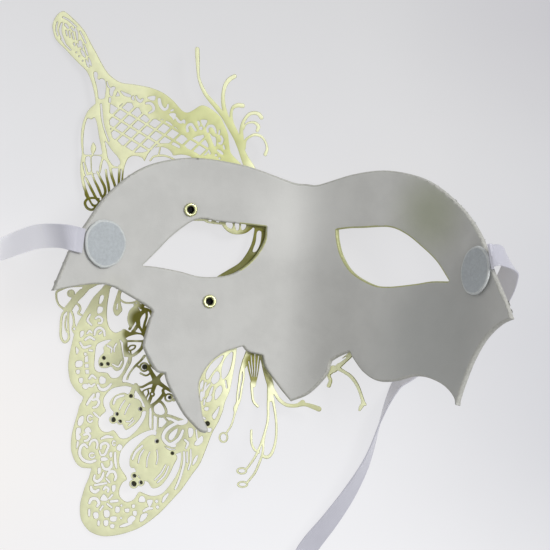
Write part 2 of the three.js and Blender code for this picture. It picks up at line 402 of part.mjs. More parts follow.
// Cuts the slab to a plan shape, then sets its thickness square to the surface.
function curvedPlate(plan, height, thick, cell, crowd = 1) {
  const box = plan.boundingBox();
  const cut = slab(
    height,
    box.min[0] - 2,
    box.max[0] + 2,
    box.min[1] - 2,
    box.max[1] + 2,
    cell,
    crowd,
  ).intersect(plan);
  const g = geometryOf(cut);
  const p = g.attributes.position;
  for (let i = 0; i < p.count; i++) {
    const x = p.getX(i),
      y = p.getY(i),
      z = height(x, y);
    const up = p.getZ(i) > z ? thick : 0;
    const n = normalOf(height, x, y);
    p.setXYZ(i, x + n.x * up, y + n.y * up, z + n.z * up);
  }
  return g;
}

// A strip swept along stations {p: centre, side: unit vector across, up: unit vector through}.
function strip(stations, width, thick) {
  const v = [],
    idx = [];
  for (const s of stations)
    for (const [a, b] of [
      [-1, -1],
      [1, -1],
      [1, 1],
      [-1, 1],
    ])
      v.push(
        s.p.x + (s.side.x * a * width) / 2 + (s.up.x * b * thick) / 2,
        s.p.y + (s.side.y * a * width) / 2 + (s.up.y * b * thick) / 2,
        s.p.z + (s.side.z * a * width) / 2 + (s.up.z * b * thick) / 2,
      );
  const n = stations.length;
  for (let i = 0; i < n - 1; i++)
    for (let j = 0; j < 4; j++) {
      const a = 4 * i + j,
        b = 4 * i + ((j + 1) % 4);
      idx.push(a, b, b + 4, a, b + 4, a + 4);
    }
  idx.push(0, 2, 1, 0, 3, 2);
  const e = 4 * (n - 1);
  idx.push(e, e + 1, e + 2, e, e + 2, e + 3);
  return new THREE.BufferGeometry()
    .setAttribute(
      "position",
      new THREE.BufferAttribute(new Float32Array(v), 3),
    )
    .setIndex(idx);
}

// ---------- materials ----------
const plastic = new THREE.MeshStandardMaterial({
  color: 0xc4c4c2,
  roughness: 0.55,
  metalness: 0,
});
const brass = new THREE.MeshStandardMaterial({
  color: 0xd8d79a,
  roughness: 0.25,
  metalness: 1,
});
const rivetBrass = new THREE.MeshStandardMaterial({
  color: 0xc9c98a,
  roughness: 0.3,
  metalness: 1,
});
const stoneGlass = new THREE.MeshStandardMaterial({
  color: 0x4a5212,
  roughness: 0.08,
  metalness: 0.1,
});
const satin = new THREE.MeshStandardMaterial({
  color: 0xd5d9e4,
  roughness: 0.45,
  metalness: 0,
});
const felt = new THREE.MeshStandardMaterial({
  color: 0xb9c2c8,
  roughness: 0.9,
  metalness: 0,
});

const mask = new THREE.Group();
mask.position.set(...ORIGIN_SHIFT);
function add(name, geometry, material) {
  const m = new THREE.Mesh(geometry, material);
  m.name = name;
  mask.add(m);
  return m;
}

// ---------- shell ----------
let plan = prism(outline(SHELL_EDGE, EDGE_STEP))
  .subtract(prism(outline(LEFT_EYE, EDGE_STEP)))
  .subtract(prism(outline(RIGHT_EYE, EDGE_STEP)));
for (const [x, y] of Object.values(RIVET_AT))
  plan = plan.subtract(disc(x, y, RIVET_HOLE_R, 16));
add("mask_shell", curvedPlate(plan, shellFront, SHELL_T, GRID), plastic);

// Where a rivet's axis meets the sheet.
function onSheet([x, y]) {
  const n = normalOf(shellFront, x, y);
  const drop = (shellFront(x, y) - sheetFront(x, y)) * n.z;
  return [x - n.x * drop, y - n.y * drop];
}

// ---------- etched sheet ----------
function inside(x, y, polygon) {
  let odd = false;
  for (let i = 0, j = polygon.length - 1; i < polygon.length; j = i++) {
    const [xi, yi] = polygon[i],
      [xj, yj] = polygon[j];
    if (yi > y !== yj > y && x < ((xj - xi) * (y - yi)) / (yj - yi) + xi)
      odd = !odd;
  }
  return odd;
}

const LATTICE_PITCH = 3.64,
  LATTICE_HOLE = 1.36; // pitch across the diamonds, and half a hole's diagonal
let upper = prism(outline(UPPER_WING, WING_STEP));
for (const w of UPPER_WINDOWS)
  upper = upper.subtract(prism(vectors(w).reverse()));
for (let i = -20; i <= 20; i++)
  for (let j = -20; j <= 20; j++) {
    const x = -47 + ((i + j) * LATTICE_PITCH) / 2,
      y = 51 + ((i - j) * LATTICE_PITCH) / 2;
    const corners = [
      [x + LATTICE_HOLE, y],
      [x, y + LATTICE_HOLE],
      [x - LATTICE_HOLE, y],
      [x, y - LATTICE_HOLE],
    ];
    if (corners.every(([a, b]) => inside(a, b, LATTICE_FIELD)))
      upper = upper.subtract(prism(vectors(corners)));
  }
const upperHole = onSheet(RIVET_AT.upper_rivet);
upper = upper.subtract(disc(...upperHole, RIVET_HOLE_R, 16));
add(
  "filigree_upper_wing",
  curvedPlate(upper, sheetFront, SHEET_T, 12, 1.8),
  brass,
);

let lower = prism(outline(LOWER_WING, WING_STEP));
for (const w of LOWER_WINDOWS)
  lower = lower.subtract(prism(vectors(w).reverse()));
for (const run of Object.values(CORNER_LOOPS))
  lower = lower.add(strokePrism(run));
const lowerHole = onSheet(RIVET_AT.lower_rivet);
lower = lower.subtract(disc(...lowerHole, RIVET_HOLE_R, 16));
add(
  "filigree_lower_wing",
  curvedPlate(lower, sheetFront, SHEET_T, 12, 1.8),
  brass,
);

let body = prism(vectors(BODY_EDGE).reverse());
for (const w of BODY_WINDOWS) body = body.subtract(prism(vectors(w).reverse()));
for (const run of Object.values(SPRAY)) body = body.add(strokePrism(run));
// The body is a node of its own beside the wings, with a hair's gap behind the shell.
const GROW = 0.35;
for (const d of [
  [GROW, 0],
  [-GROW, 0],
  [0, GROW],
  [0, -GROW],
])
  for (const edge of [UPPER_WING, LOWER_WING])
    body = body.subtract(
      prism(
        outline(edge, WING_STEP).map(
          (p) => new THREE.Vector2(p.x + d[0], p.y + d[1]),
        ),
      ),
    );
add("filigree_body", curvedPlate(body, sheetFront, SHEET_T, 6), brass);

// ---------- rivets ----------
for (const [name, [x, y]] of Object.entries(RIVET_AT)) {
  const n = normalOf(shellFront, x, y);
  const sheet = -(shellFront(x, y) - sheetFront(x, y)) * n.z; // the sheet's front face along the axis
  const head = sheet - 0.4,
    back = SHELL_T + 0.35;
  const profile = [
    [0, head - 1.15],
    [1.4, head - 1.0],
    [RIVET_HEAD_R, head - 0.35],
    [RIVET_HEAD_R, head],
    [RIVET_SHANK_R, head],
    [RIVET_SHANK_R, back],
    [RIVET_HEAD_R, back],
    [RIVET_HEAD_R, back + 0.3],
    [2.0, back + 0.6],
    [RIVET_BORE_R, back + 0.2],
    [RIVET_BORE_R, head + 1.2],
    [0, head + 1.2],
  ].map(([r, h]) => new THREE.Vector2(r, h));
  const g = new THREE.LatheGeometry(profile, 14);
  g.rotateX(Math.PI / 2);
  const m = add(name, g, rivetBrass);
  m.quaternion.setFromUnitVectors(new THREE.Vector3(0, 0, 1), n);
  m.position.set(x, y, shellFront(x, y));
}

// ---------- stones ----------
STONES.forEach(([x, y, r], i) => {
  const n = normalOf(sheetFront, x, y);
  const g = new THREE.LatheGeometry(
    [
      [0, -STONE_H],
      [r * 0.55, -STONE_H],
      [r, -0.35],
      [r, 0],
      [0, 0],
    ].map(([a, b]) => new THREE.Vector2(a, b)),
    8,
  );
  g.rotateX(Math.PI / 2);
  const m = add("stone_" + String(i + 1).padStart(2, "0"), g, stoneGlass);
  m.quaternion.setFromUnitVectors(new THREE.Vector3(0, 0, 1), n);
  m.position
    .set(x, y, sheetFront(x, y))
    .addScaledVector(n, -0.35);
});

// ---------- ribbon pads ----------
for (const [name, [x, y]] of Object.entries(PAD_AT)) {
  const n = normalOf(shellFront, x, y);
  const g = new THREE.CylinderGeometry(PAD_R, PAD_R, PAD_T, 28);
  g.rotateX(Math.PI / 2);
  const m = add(name, g, felt);
  m.quaternion.setFromUnitVectors(new THREE.Vector3(0, 0, 1), n);
  m.position
    .set(x, y, shellFront(x, y))
    .addScaledVector(n, SHELL_T + 0.85 + PAD_T / 2);
}

// ---------- ribbons ----------
function ribbonStations(route, count) {
  const path = new THREE.CatmullRomCurve3(
    route.map(([x, y, z]) => new THREE.Vector3(x, y, z)),
    false,
    "centripetal",
  );
  const across = new THREE.CatmullRomCurve3(
    route.map((s) => new THREE.Vector3(s[3], s[4], s[5])),
    false,
    "centripetal",
  );
  return Array.from({ length: count + 1 }, (_, i) => {
    const t = i / count;
    const along = path.getTangent(t);
    const side = across.getPoint(t);
    side.addScaledVector(along, -side.dot(along)).normalize();
    return {
      p: path.getPoint(t),
      side,
      up: new THREE.Vector3().crossVectors(along, side),
    };
  });
}

for (const [side, route, roll, count] of [
  ["left", LEFT_ROUTE, LEFT_ROLL, 30],
  ["right", RIGHT_ROUTE, RIGHT_ROLL, 50],
]) {
  add(
    side + "_ribbon_run",
    strip(ribbonStations(route, count), RIBBON_W, RIBBON_T),
    satin,
  );
  // the rest of the ribbon, rolled on its edge
  const rIn = ROLL_R - ROLL_PITCH * roll.turns - 0.6,
    rOut = ROLL_R + 0.6,
    low = 0.7,
    high = 9.7;
  const ring = new THREE.LatheGeometry(
    [
      [rIn, low],
      [rOut, low],
      [rOut, high],
      [rIn, high],
      [rIn, low],
    ].map(([r, h]) => new THREE.Vector2(r, h)),
    32,
  );
  ring.rotateX(Math.PI / 2);
  const coil = add(side + "_ribbon_coil", ring, satin);
  coil.position.set(roll.at[0], roll.at[1], 0);
  // a paper band round the roll
  const w = rOut - rIn + 0.8,
    band = 0.5,
    bandWide = 4;
  const frame = solid(
    new THREE.BoxGeometry(w + 2 * band, bandWide, high + 0.4 + band),
  ).subtract(
    solid(
      new THREE.BoxGeometry(w, bandWide + 2, high + 0.4 - 0.4 - band + 0.4),
    ),
  );
  const tie = add(side + "_ribbon_tie", geometryOf(frame), felt);
  tie.rotation.z = side === "left" ? Math.PI : (3 * Math.PI) / 4;
  const mid = (rIn + rOut) / 2,
    a = tie.rotation.z;
  tie.position.set(
    roll.at[0] + mid * Math.cos(a),
    roll.at[1] + mid * Math.sin(a),
    (high + 0.4 + band) / 2 + 0.02,
  );
}

export default mask;
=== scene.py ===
"""Looks of the mask: a moulded half shell with an etched butterfly sheet riveted under its front, set stones, and a tie ribbon under a felt pad each side."""
import math

import bpy
import numpy as np
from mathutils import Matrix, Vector
from mathutils.geometry import delaunay_2d_cdt


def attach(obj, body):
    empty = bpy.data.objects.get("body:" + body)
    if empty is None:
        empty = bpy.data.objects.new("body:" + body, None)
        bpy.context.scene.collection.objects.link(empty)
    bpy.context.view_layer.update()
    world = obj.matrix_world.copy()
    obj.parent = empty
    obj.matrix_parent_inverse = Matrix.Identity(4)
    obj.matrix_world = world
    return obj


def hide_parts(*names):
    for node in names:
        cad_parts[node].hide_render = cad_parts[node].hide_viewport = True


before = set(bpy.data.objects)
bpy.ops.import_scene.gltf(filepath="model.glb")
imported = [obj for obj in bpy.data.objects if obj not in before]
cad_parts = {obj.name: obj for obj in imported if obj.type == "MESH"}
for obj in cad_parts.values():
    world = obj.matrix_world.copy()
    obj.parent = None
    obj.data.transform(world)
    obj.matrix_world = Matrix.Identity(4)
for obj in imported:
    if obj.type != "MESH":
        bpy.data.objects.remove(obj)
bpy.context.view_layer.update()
scene = bpy.context.scene
SHIFT = np.array([-0.71, -0.53, 0.11])  # mm, from the drawing's frame to the row frame

# ---------------------------------------------------------------- camera
cam_data = bpy.data.cameras.new("camera")
cam_data.sensor_width = 36.0
cam_data.lens = 212.3
cam_data.clip_start = 0.1
cam_data.clip_end = 20.0
cam = bpy.data.objects.new("camera", cam_data)
cam.location = (-0.00071, -0.00053, 1.20011)
cam.rotation_euler = (0.0, 0.0, 0.0)
scene.collection.objects.link(cam)
scene.camera = cam
scene.view_settings.view_transform = "Standard"
scene.view_settings.look = "None"

# ---------------------------------------------------------------- surfaces (mm, drawing's frame)
ARC_R, ROLL, TURN = 96.0, math.radians(11.0), math.radians(4.5)
S_MAX, S_MIN = math.sin(math.radians(59.0)), math.sin(math.radians(-38.0))
CX, CY = 9.6, 1.9
SHELL_T, SHEET_T = 2.0, 0.6
RIVETS = [(-31.47, 23.89), (-24.5, -9.92)]
PADS = [("left_ribbon_pad", -63.26, 11.34), ("right_ribbon_pad", 73.6, 1.2)]


def shell_front(x, y):
    dx, dy = x - CX, y - CY
    p = dx * math.cos(TURN) - dy * math.sin(TURN)
    q = dx * math.sin(TURN) + dy * math.cos(TURN)
    a = (p + ARC_R * math.sin(ROLL)) / ARC_R
    s = np.clip(a, S_MIN, S_MAX)
    arc = ARC_R * math.cos(ROLL) - ARC_R * np.sqrt(1 - s * s) + (a - s) * ARC_R * np.tan(np.arcsin(s))
    qc, qq = np.clip(q, -110, 110), np.clip(q, -60, 60)
    ridge = (7.6 - 0.085 * qq) / (1 + np.exp(-(q + 78) / 9.0)) / (1 + np.exp((q - 52) / 8.0))
    spread = 12.5 + 0.09 * np.clip(-q, -40, 60)
    return 9.1 + arc - 0.085 * qc + qc * qc / 560.0 - ridge * np.exp(-((p + 0.03 * q) ** 2) / (2 * spread**2))


def sheet_front(x, y):
    slope = 0.172 * (x - (-82.2 - 0.0629 * y + 0.000671 * y * y))
    under = shell_front(x, y) - 1.2
    h = np.maximum(4.0 - np.abs(slope - under), 0) / 4.0
    z = np.minimum(slope, under) - h * h
    for rx, ry in RIVETS:
        z = z + (under - 0.15 - z) * np.exp(-((x - rx) ** 2 + (y - ry) ** 2) / 25.0)
    return z


def normals(surf, x, y, e=0.25):
    gx = (surf(x + e, y) - surf(x - e, y)) / (2 * e)
    gy = (surf(x, y + e) - surf(x, y - e)) / (2 * e)
    n = 1 / np.sqrt(1 + gx * gx + gy * gy)
    return np.stack([-gx * n, -gy * n, n], -1)


def lift(surf, xy, h):
    """Points xy on the surface, moved h along its upward normal, in metres in the row frame."""
    x, y = xy[:, 0], xy[:, 1]
    p = np.stack([x, y, surf(x, y)], -1) + normals(surf, x, y) * np.asarray(h).reshape(-1, 1)
    return (p + SHIFT) / 1000.0


# ---------------------------------------------------------------- drawing on a distance field
class Field:
    """A signed distance picture in mm: above 0 inside the piece."""

    def __init__(self, x0, x1, y0, y1, h):
        self.x0, self.y0, self.h = x0, y0, h
        self.nx, self.ny = int((x1 - x0) / h) + 1, int((y1 - y0) / h) + 1
        self.f = np.full((self.ny, self.nx), -2.0, np.float32)

    def window(self, pts, pad):
        lo, hi = pts.min(0) - pad, pts.max(0) + pad
        i0 = max(0, int((lo[0] - self.x0) / self.h))
        i1 = min(self.nx, int((hi[0] - self.x0) / self.h) + 2)
        j0 = max(0, int((lo[1] - self.y0) / self.h))
        j1 = min(self.ny, int((hi[1] - self.y0) / self.h) + 2)
        return i0, max(i1, i0 + 1), j0, max(j1, j0 + 1)

    def polygon(self, pts):
        i0, i1, j0, j1 = self.window(pts, 1.2)
        X = self.x0 + self.h * np.arange(i0, i1)
        Y = self.y0 + self.h * np.arange(j0, j1)
        d = np.full((j1 - j0, i1 - i0), 1.2, np.float32)
        flips = np.zeros((j1 - j0, i1 - i0 + 1), np.int32)
        for a, b in zip(pts, np.roll(pts, -1, 0)):
            e = b - a
            L2 = float(e @ e)
            if L2 < 1e-12:
                continue
            wi0, wi1, wj0, wj1 = self.window(np.array([a, b]), 1.2)
            wi0, wi1, wj0, wj1 = max(wi0, i0) - i0, min(wi1, i1) - i0, max(wj0, j0) - j0, min(wj1, j1) - j0
            if wi1 > wi0 and wj1 > wj0:
                gx, gy = X[wi0:wi1][None, :] - a[0], Y[wj0:wj1][:, None] - a[1]
                t = np.clip((gx * e[0] + gy * e[1]) / L2, 0, 1)
                dd = np.sqrt((gx - t * e[0]) ** 2 + (gy - t * e[1]) ** 2)
                d[wj0:wj1, wi0:wi1] = np.minimum(d[wj0:wj1, wi0:wi1], dd)
            rows = np.nonzero((Y >= min(a[1], b[1])) & (Y < max(a[1], b[1])))[0]
            if len(rows):
                xc = a[0] + (Y[rows] - a[1]) * e[0] / e[1]
                c = np.clip(np.ceil((xc - X[0]) / self.h).astype(int), 0, i1 - i0)
                np.add.at(flips, (rows, c), 1)
        inside = (np.cumsum(flips, 1)[:, :-1] % 2) == 1
        return (i0, i1, j0, j1), np.where(inside, d, -d)

    def stroke(self, pts):
        """pts: x, y, width."""
        i0, i1, j0, j1 = self.window(pts[:, :2], 1.2 + float(pts[:, 2].max()) / 2)
        X = self.x0 + self.h * np.arange(i0, i1)
        Y = self.y0 + self.h * np.arange(j0, j1)
        v = np.full((j1 - j0, i1 - i0), -1.2, np.float32)
        for a, b in zip(pts[:-1], pts[1:]):
            e = b[:2] - a[:2]
            L2 = max(float(e @ e), 1e-9)
            wi0, wi1, wj0, wj1 = self.window(np.array([a[:2], b[:2]]), 1.2 + max(a[2], b[2]) / 2)
            wi0, wi1, wj0, wj1 = wi0 - i0, wi1 - i0, wj0 - j0, wj1 - j0
            wi0, wj0 = max(wi0, 0), max(wj0, 0)
            gx, gy = X[wi0:wi1][None, :] - a[0], Y[wj0:wj1][:, None] - a[1]
            if gx.size == 0 or gy.size == 0:
                continue
            t = np.clip((gx * e[0] + gy * e[1]) / L2, 0, 1)
            r = (a[2] + (b[2] - a[2]) * t) / 2
            s = r - np.sqrt((gx - t * e[0]) ** 2 + (gy - t * e[1]) ** 2)
            part = v[wj0:wj1, wi0:wi1]
            v[wj0:wj1, wi0:wi1] = np.maximum(part, s[: part.shape[0], : part.shape[1]])
        return (i0, i1, j0, j1), v

    def put(self, got, cut, grow=0.0):
        (i0, i1, j0, j1), s = got
        s = s + grow
        w = self.f[j0:j1, i0:i1]
        self.f[j0:j1, i0:i1] = np.minimum(w, -s) if cut else np.maximum(w, s)

    def at(self, p):
        gx = np.clip((p[:, 0] - self.x0) / self.h, 0, self.nx - 1.001)
        gy = np.clip((p[:, 1] - self.y0) / self.h, 0, self.ny - 1.001)
        i, j = gx.astype(int), gy.astype(int)
        u, v = gx - i, gy - j
        f = self.f
        return (f[j, i] * (1 - u) + f[j, i + 1] * u) * (1 - v) + (f[j + 1, i] * (1 - u) + f[j + 1, i + 1] * u) * v

    def inward(self, p, e=0.12):
        dx = self.at(p + [e, 0]) - self.at(p - [e, 0])
        dy = self.at(p + [0, e]) - self.at(p - [0, e])
        g = np.stack([dx, dy], -1)
        return g / np.maximum(np.linalg.norm(g, axis=1, keepdims=True), 1e-6)

    def loops(self):
        """Closed outlines of the f > 0 area, inside on the left."""
        f = self.f.copy()
        f[0], f[-1], f[:, 0], f[:, -1] = -1, -1, -1, -1
        f[np.abs(f) < 1e-4] = 1e-4
        s = f > 0
        N = self.nx * self.ny
        code = s[:-1, :-1] + 2 * s[:-1, 1:] + 4 * s[1:, 1:] + 8 * s[1:, :-1]
        jj, ii = np.nonzero((code > 0) & (code < 15))
        c = code[jj, ii]
        mid = (f[jj, ii] + f[jj, ii + 1] + f[jj + 1, ii] + f[jj + 1, ii + 1]) > 0
        B, R = jj * self.nx + ii, N + jj * self.nx + ii + 1
        T, L = (jj + 1) * self.nx + ii, N + jj * self.nx + ii
        E = {"B": B, "R": R, "T": T, "L": L}
        # each case: edge entered to edge left, inside on the left
        plain = {1: ["BL"], 2: ["RB"], 3: ["RL"], 4: ["TR"], 6: ["TB"], 7: ["TL"], 8: ["LT"], 9: ["BT"], 11: ["RT"], 12: ["LR"], 13: ["BR"], 14: ["LB"]}
        both = {(5, True): ["BR", "TL"], (5, False): ["BL", "TR"], (10, True): ["RT", "LB"], (10, False): ["RB", "LT"]}
        frm, to = [], []
        for k, segs in plain.items():
            m = c == k
            for a, b in segs:
                frm.append(E[a][m]), to.append(E[b][m])
        for (k, inner), segs in both.items():
            m = (c == k) & (mid == inner)
            for a, b in segs:
                frm.append(E[a][m]), to.append(E[b][m])
        frm, to = np.concatenate(frm), np.concatenate(to)
        nxt = dict(zip(frm.tolist(), to.tolist()))
        out = []
        while nxt:
            start, cur = next(iter(nxt)), None
            loop, cur = [start], nxt.pop(start)
            while cur != start:
                loop.append(cur)
                cur = nxt.pop(cur)
            out.append(np.array(loop))
        res = []
        for ids in out:
            vert = ids >= N
            k = np.where(vert, ids - N, ids)
            j, i = k // self.nx, k % self.nx
            f0 = f[j, i]
            f1 = np.where(vert, f[np.minimum(j + 1, self.ny - 1), i], f[j, np.minimum(i + 1, self.nx - 1)])
            t = np.clip(f0 / (f0 - f1), 0.02, 0.98)
            res.append(np.stack([self.x0 + self.h * (i + np.where(vert, 0, t)), self.y0 + self.h * (j + np.where(vert, t, 0))], -1))
        return res


def catmull(p, k, closed):
    p = np.asarray(p, float)
    if len(p) < 3:
        return p
    q = np.vstack([p[-1], p, p[0], p[1]]) if closed else np.vstack([2 * p[0] - p[1], p, 2 * p[-1] - p[-2]])
    out = []
    for n in range(len(q) - 3):
        p0, p1, p2, p3 = q[n : n + 4]
        for t in np.linspace(0, 1, k, endpoint=False):
            out.append(0.5 * (2 * p1 + (p2 - p0) * t + (2 * p0 - 5 * p1 + 4 * p2 - p3) * t * t + (3 * p1 - p0 - 3 * p2 + p3) * t**3))
    if not closed:
        out.append(p[-1])
    return np.array(out)


def simplify(p, tol, longest):
    """Douglas-Peucker on a closed loop, then long sides are split."""
    n = len(p)
    if n < 4:
        return p
    a = 0
    b = int(np.argmax(((p - p[0]) ** 2).sum(1)))
    keep = {a, b}
    q = np.vstack([p, p[:1]])
    stack = [(a, b), (b, n)]
    while stack:
        s, e = stack.pop()
        if e - s < 2:
            continue
        d = q[e] - q[s]
        L = math.hypot(*d)
        r = q[s + 1 : e] - q[s]
        dist = np.abs(r[:, 0] * d[1] - r[:, 1] * d[0]) / L if L > 1e-9 else np.hypot(r[:, 0], r[:, 1])
        m = int(np.argmax(dist))
        if dist[m] > tol:
            keep.add(s + 1 + m)
            stack += [(s, s + 1 + m), (s + 1 + m, e)]
    k = q[sorted(keep)]
    out = []
    for u, v in zip(k, np.roll(k, -1, 0)):
        steps = max(1, int(math.ceil(math.hypot(*(v - u)) / longest)))
        out += [u + (v - u) * t / steps for t in range(steps)]
    return np.array(out)


def plate(name, field, surf, thick, edge, grid, tol, longest, core, mats, rings=1, smallest=0.25):
    """A sheet of that thickness cut to the field's outline, following surf, with rounded edges. Material 0 back (up), 1 front (down), 2 edge."""
    pts, sides = [], []
    for loop in field.loops():
        x, y = loop[:, 0], loop[:, 1]
        area = 0.5 * float(np.sum(x * np.roll(y, -1) - y * np.roll(x, -1)))
        if abs(area) < smallest:
            continue
        s = simplify(loop, tol, longest)
        if len(s) < 3:
            continue
        n0 = len(pts)
        pts += s.tolist()
        sides += [(n0 + i, n0 + (i + 1) % len(s)) for i in range(len(s))]
    nb = len(pts)
    gx = np.arange(field.x0, field.x0 + field.nx * field.h, grid)
    gy = np.arange(field.y0, field.y0 + field.ny * field.h, grid)
    G = np.stack(np.meshgrid(gx, gy), -1).reshape(-1, 2) + np.array([0.0137, 0.0071])
    G = G[field.at(G) > core]
    all2 = np.vstack([np.array(pts), G])
    v2, e2, f2, ov, oe, of_ = delaunay_2d_cdt([Vector(p) for p in all2], sides, [], 0, 1e-5)
    V = np.array([list(v) for v in v2], float)
    fixed = {tuple(sorted(e)) for e, o in zip(e2, oe) if len(o)}
    T = np.array([f for f in f2 if len(f) == 3], int)
    # triangles joined across free sides are one region
    parent = list(range(len(T)))

    def root(k):
        while parent[k] != k:
            parent[k] = parent[parent[k]]
            k = parent[k]
        return k

    owner = {}
    for k, t in enumerate(T):
        for a, b in ((t[0], t[1]), (t[1], t[2]), (t[2], t[0])):
            key = (a, b) if a < b else (b, a)
            if key in fixed:
                continue
            if key in owner:
                ra, rb = root(owner[key]), root(k)
                if ra != rb:
                    parent[ra] = rb
            else:
                owner[key] = k
    reg = np.array([root(k) for k in range(len(T))])
    A, Bv, C = V[T[:, 0]], V[T[:, 1]], V[T[:, 2]]
    area = 0.5 * np.abs((Bv[:, 0] - A[:, 0]) * (C[:, 1] - A[:, 1]) - (Bv[:, 1] - A[:, 1]) * (C[:, 0] - A[:, 0]))
    val = field.at((A + Bv + C) / 3) * area
    tot = np.zeros(len(T))
    np.add.at(tot, reg, val)
    on = tot[reg] > 0
    T = T[on]
    # only the largest connected piece stays
    used = np.unique(T)
    lab = {int(v): int(v) for v in used}

    def vr(v):
        while lab[v] != v:
            lab[v] = lab[lab[v]]
            v = lab[v]
        return v

    for t in T.tolist():
        a = vr(t[0])
        for b in (vr(t[1]), vr(t[2])):
            if a != b:
                lab[b] = a
                a = vr(a)
    comp = np.array([vr(int(t[0])) for t in T])
    names, counts = np.unique(comp, return_counts=True)
    T = T[comp == names[counts.argmax()]]
    sgn = (V[T[:, 1], 0] - V[T[:, 0], 0]) * (V[T[:, 2], 1] - V[T[:, 0], 1]) - (V[T[:, 1], 1] - V[T[:, 0], 1]) * (V[T[:, 2], 0] - V[T[:, 0], 0])
    T[sgn < 0] = T[sgn < 0][:, ::-1]
    half = {}
    for t in T.tolist():
        for a, b in ((t[0], t[1]), (t[1], t[2]), (t[2], t[0])):
            half[(a, b)] = 1
    rim = [(a, b) for (a, b) in half if (b, a) not in half]
    rv = sorted({a for s in rim for a in s})
    used = np.unique(T)
    idx = {int(v): k for k, v in enumerate(used)}
    P = V[used]
    isrim = np.zeros(len(used), bool)
    isrim[[idx[v] for v in rv]] = True
    inn = field.inward(P[isrim])
    step = edge * np.clip(field.at(P[isrim] + inn * edge) / (0.9 * edge), 0.05, 1.0)
    top = P.copy()
    top[isrim] += inn * step[:, None]
    n = len(used)
    rimk = np.nonzero(isrim)[0]
    m = len(rimk)
    loc = np.full(n, -1)
    loc[rimk] = np.arange(m)
    verts = [lift(surf, top, thick), lift(surf, top, 0.0)]
    prof = []
    for k in range(1, rings + 1):
        a = math.pi / 2 * k / rings
        prof.append((1 - math.sin(a), 1 - math.cos(a)))  # in from the outline, down from the face
    for w, hh in prof:
        verts.append(lift(surf, P[rimk] + inn * (step * w)[:, None], thick - step * hh))
    for w, hh in reversed(prof):
        verts.append(lift(surf, P[rimk] + inn * (step * w)[:, None], step * hh))
    nr = 2 * rings
    faces, mat = [], []
    for t in T.tolist():
        a, b, c = idx[t[0]], idx[t[1]], idx[t[2]]
        faces.append((a, b, c)), mat.append(0)
        faces.append((n + c, n + b, n + a)), mat.append(1)
    for a, b in rim:
        a, b = idx[a], idx[b]
        la, lb = loc[a], loc[b]
        chain_a = [a] + [2 * n + r * m + la for r in range(nr)] + [n + a]
        chain_b = [b] + [2 * n + r * m + lb for r in range(nr)] + [n + b]
        for k in range(len(chain_a) - 1):
            faces.append((chain_b[k], chain_a[k], chain_a[k + 1], chain_b[k + 1]))
            mat.append(2)
    me = bpy.data.meshes.new(name)
    me.from_pydata(np.vstack(verts).tolist(), [], faces)
    for mt in mats:
        me.materials.append(mt)
    me.polygons.foreach_set("material_index", mat)
    me.polygons.foreach_set("use_smooth", [True] * len(mat))
    me.update()
    ob = bpy.data.objects.new(name, me)
    scene.collection.objects.link(ob)
    smooth_by_angle(ob, 50)
    return ob


def smooth_by_angle(ob, deg):
    """Marks edges sharper than deg, so the rest shade smoothly."""
    me = ob.data
    nf = len(me.polygons)
    no = np.zeros(nf * 3)
    me.polygons.foreach_get("normal", no)
    no = no.reshape(-1, 3)
    tot = np.zeros(nf, int)
    me.polygons.foreach_get("loop_total", tot)
    le = np.zeros(len(me.loops), int)
    me.loops.foreach_get("edge_index", le)
    face = np.repeat(np.arange(nf), tot)
    order = np.argsort(le, kind="stable")
    e, f = le[order], face[order]
    same = np.nonzero(e[1:] == e[:-1])[0]
    dot = (no[f[same]] * no[f[same + 1]]).sum(1)
    sharp = np.zeros(len(me.edges), bool)
    sharp[e[same[dot < math.cos(math.radians(deg))]]] = True
    at = me.attributes.get("sharp_edge") or me.attributes.new("sharp_edge", "BOOLEAN", "EDGE")
    at.data.foreach_set("value", sharp)
    me.polygons.foreach_set("use_smooth", [True] * nf)


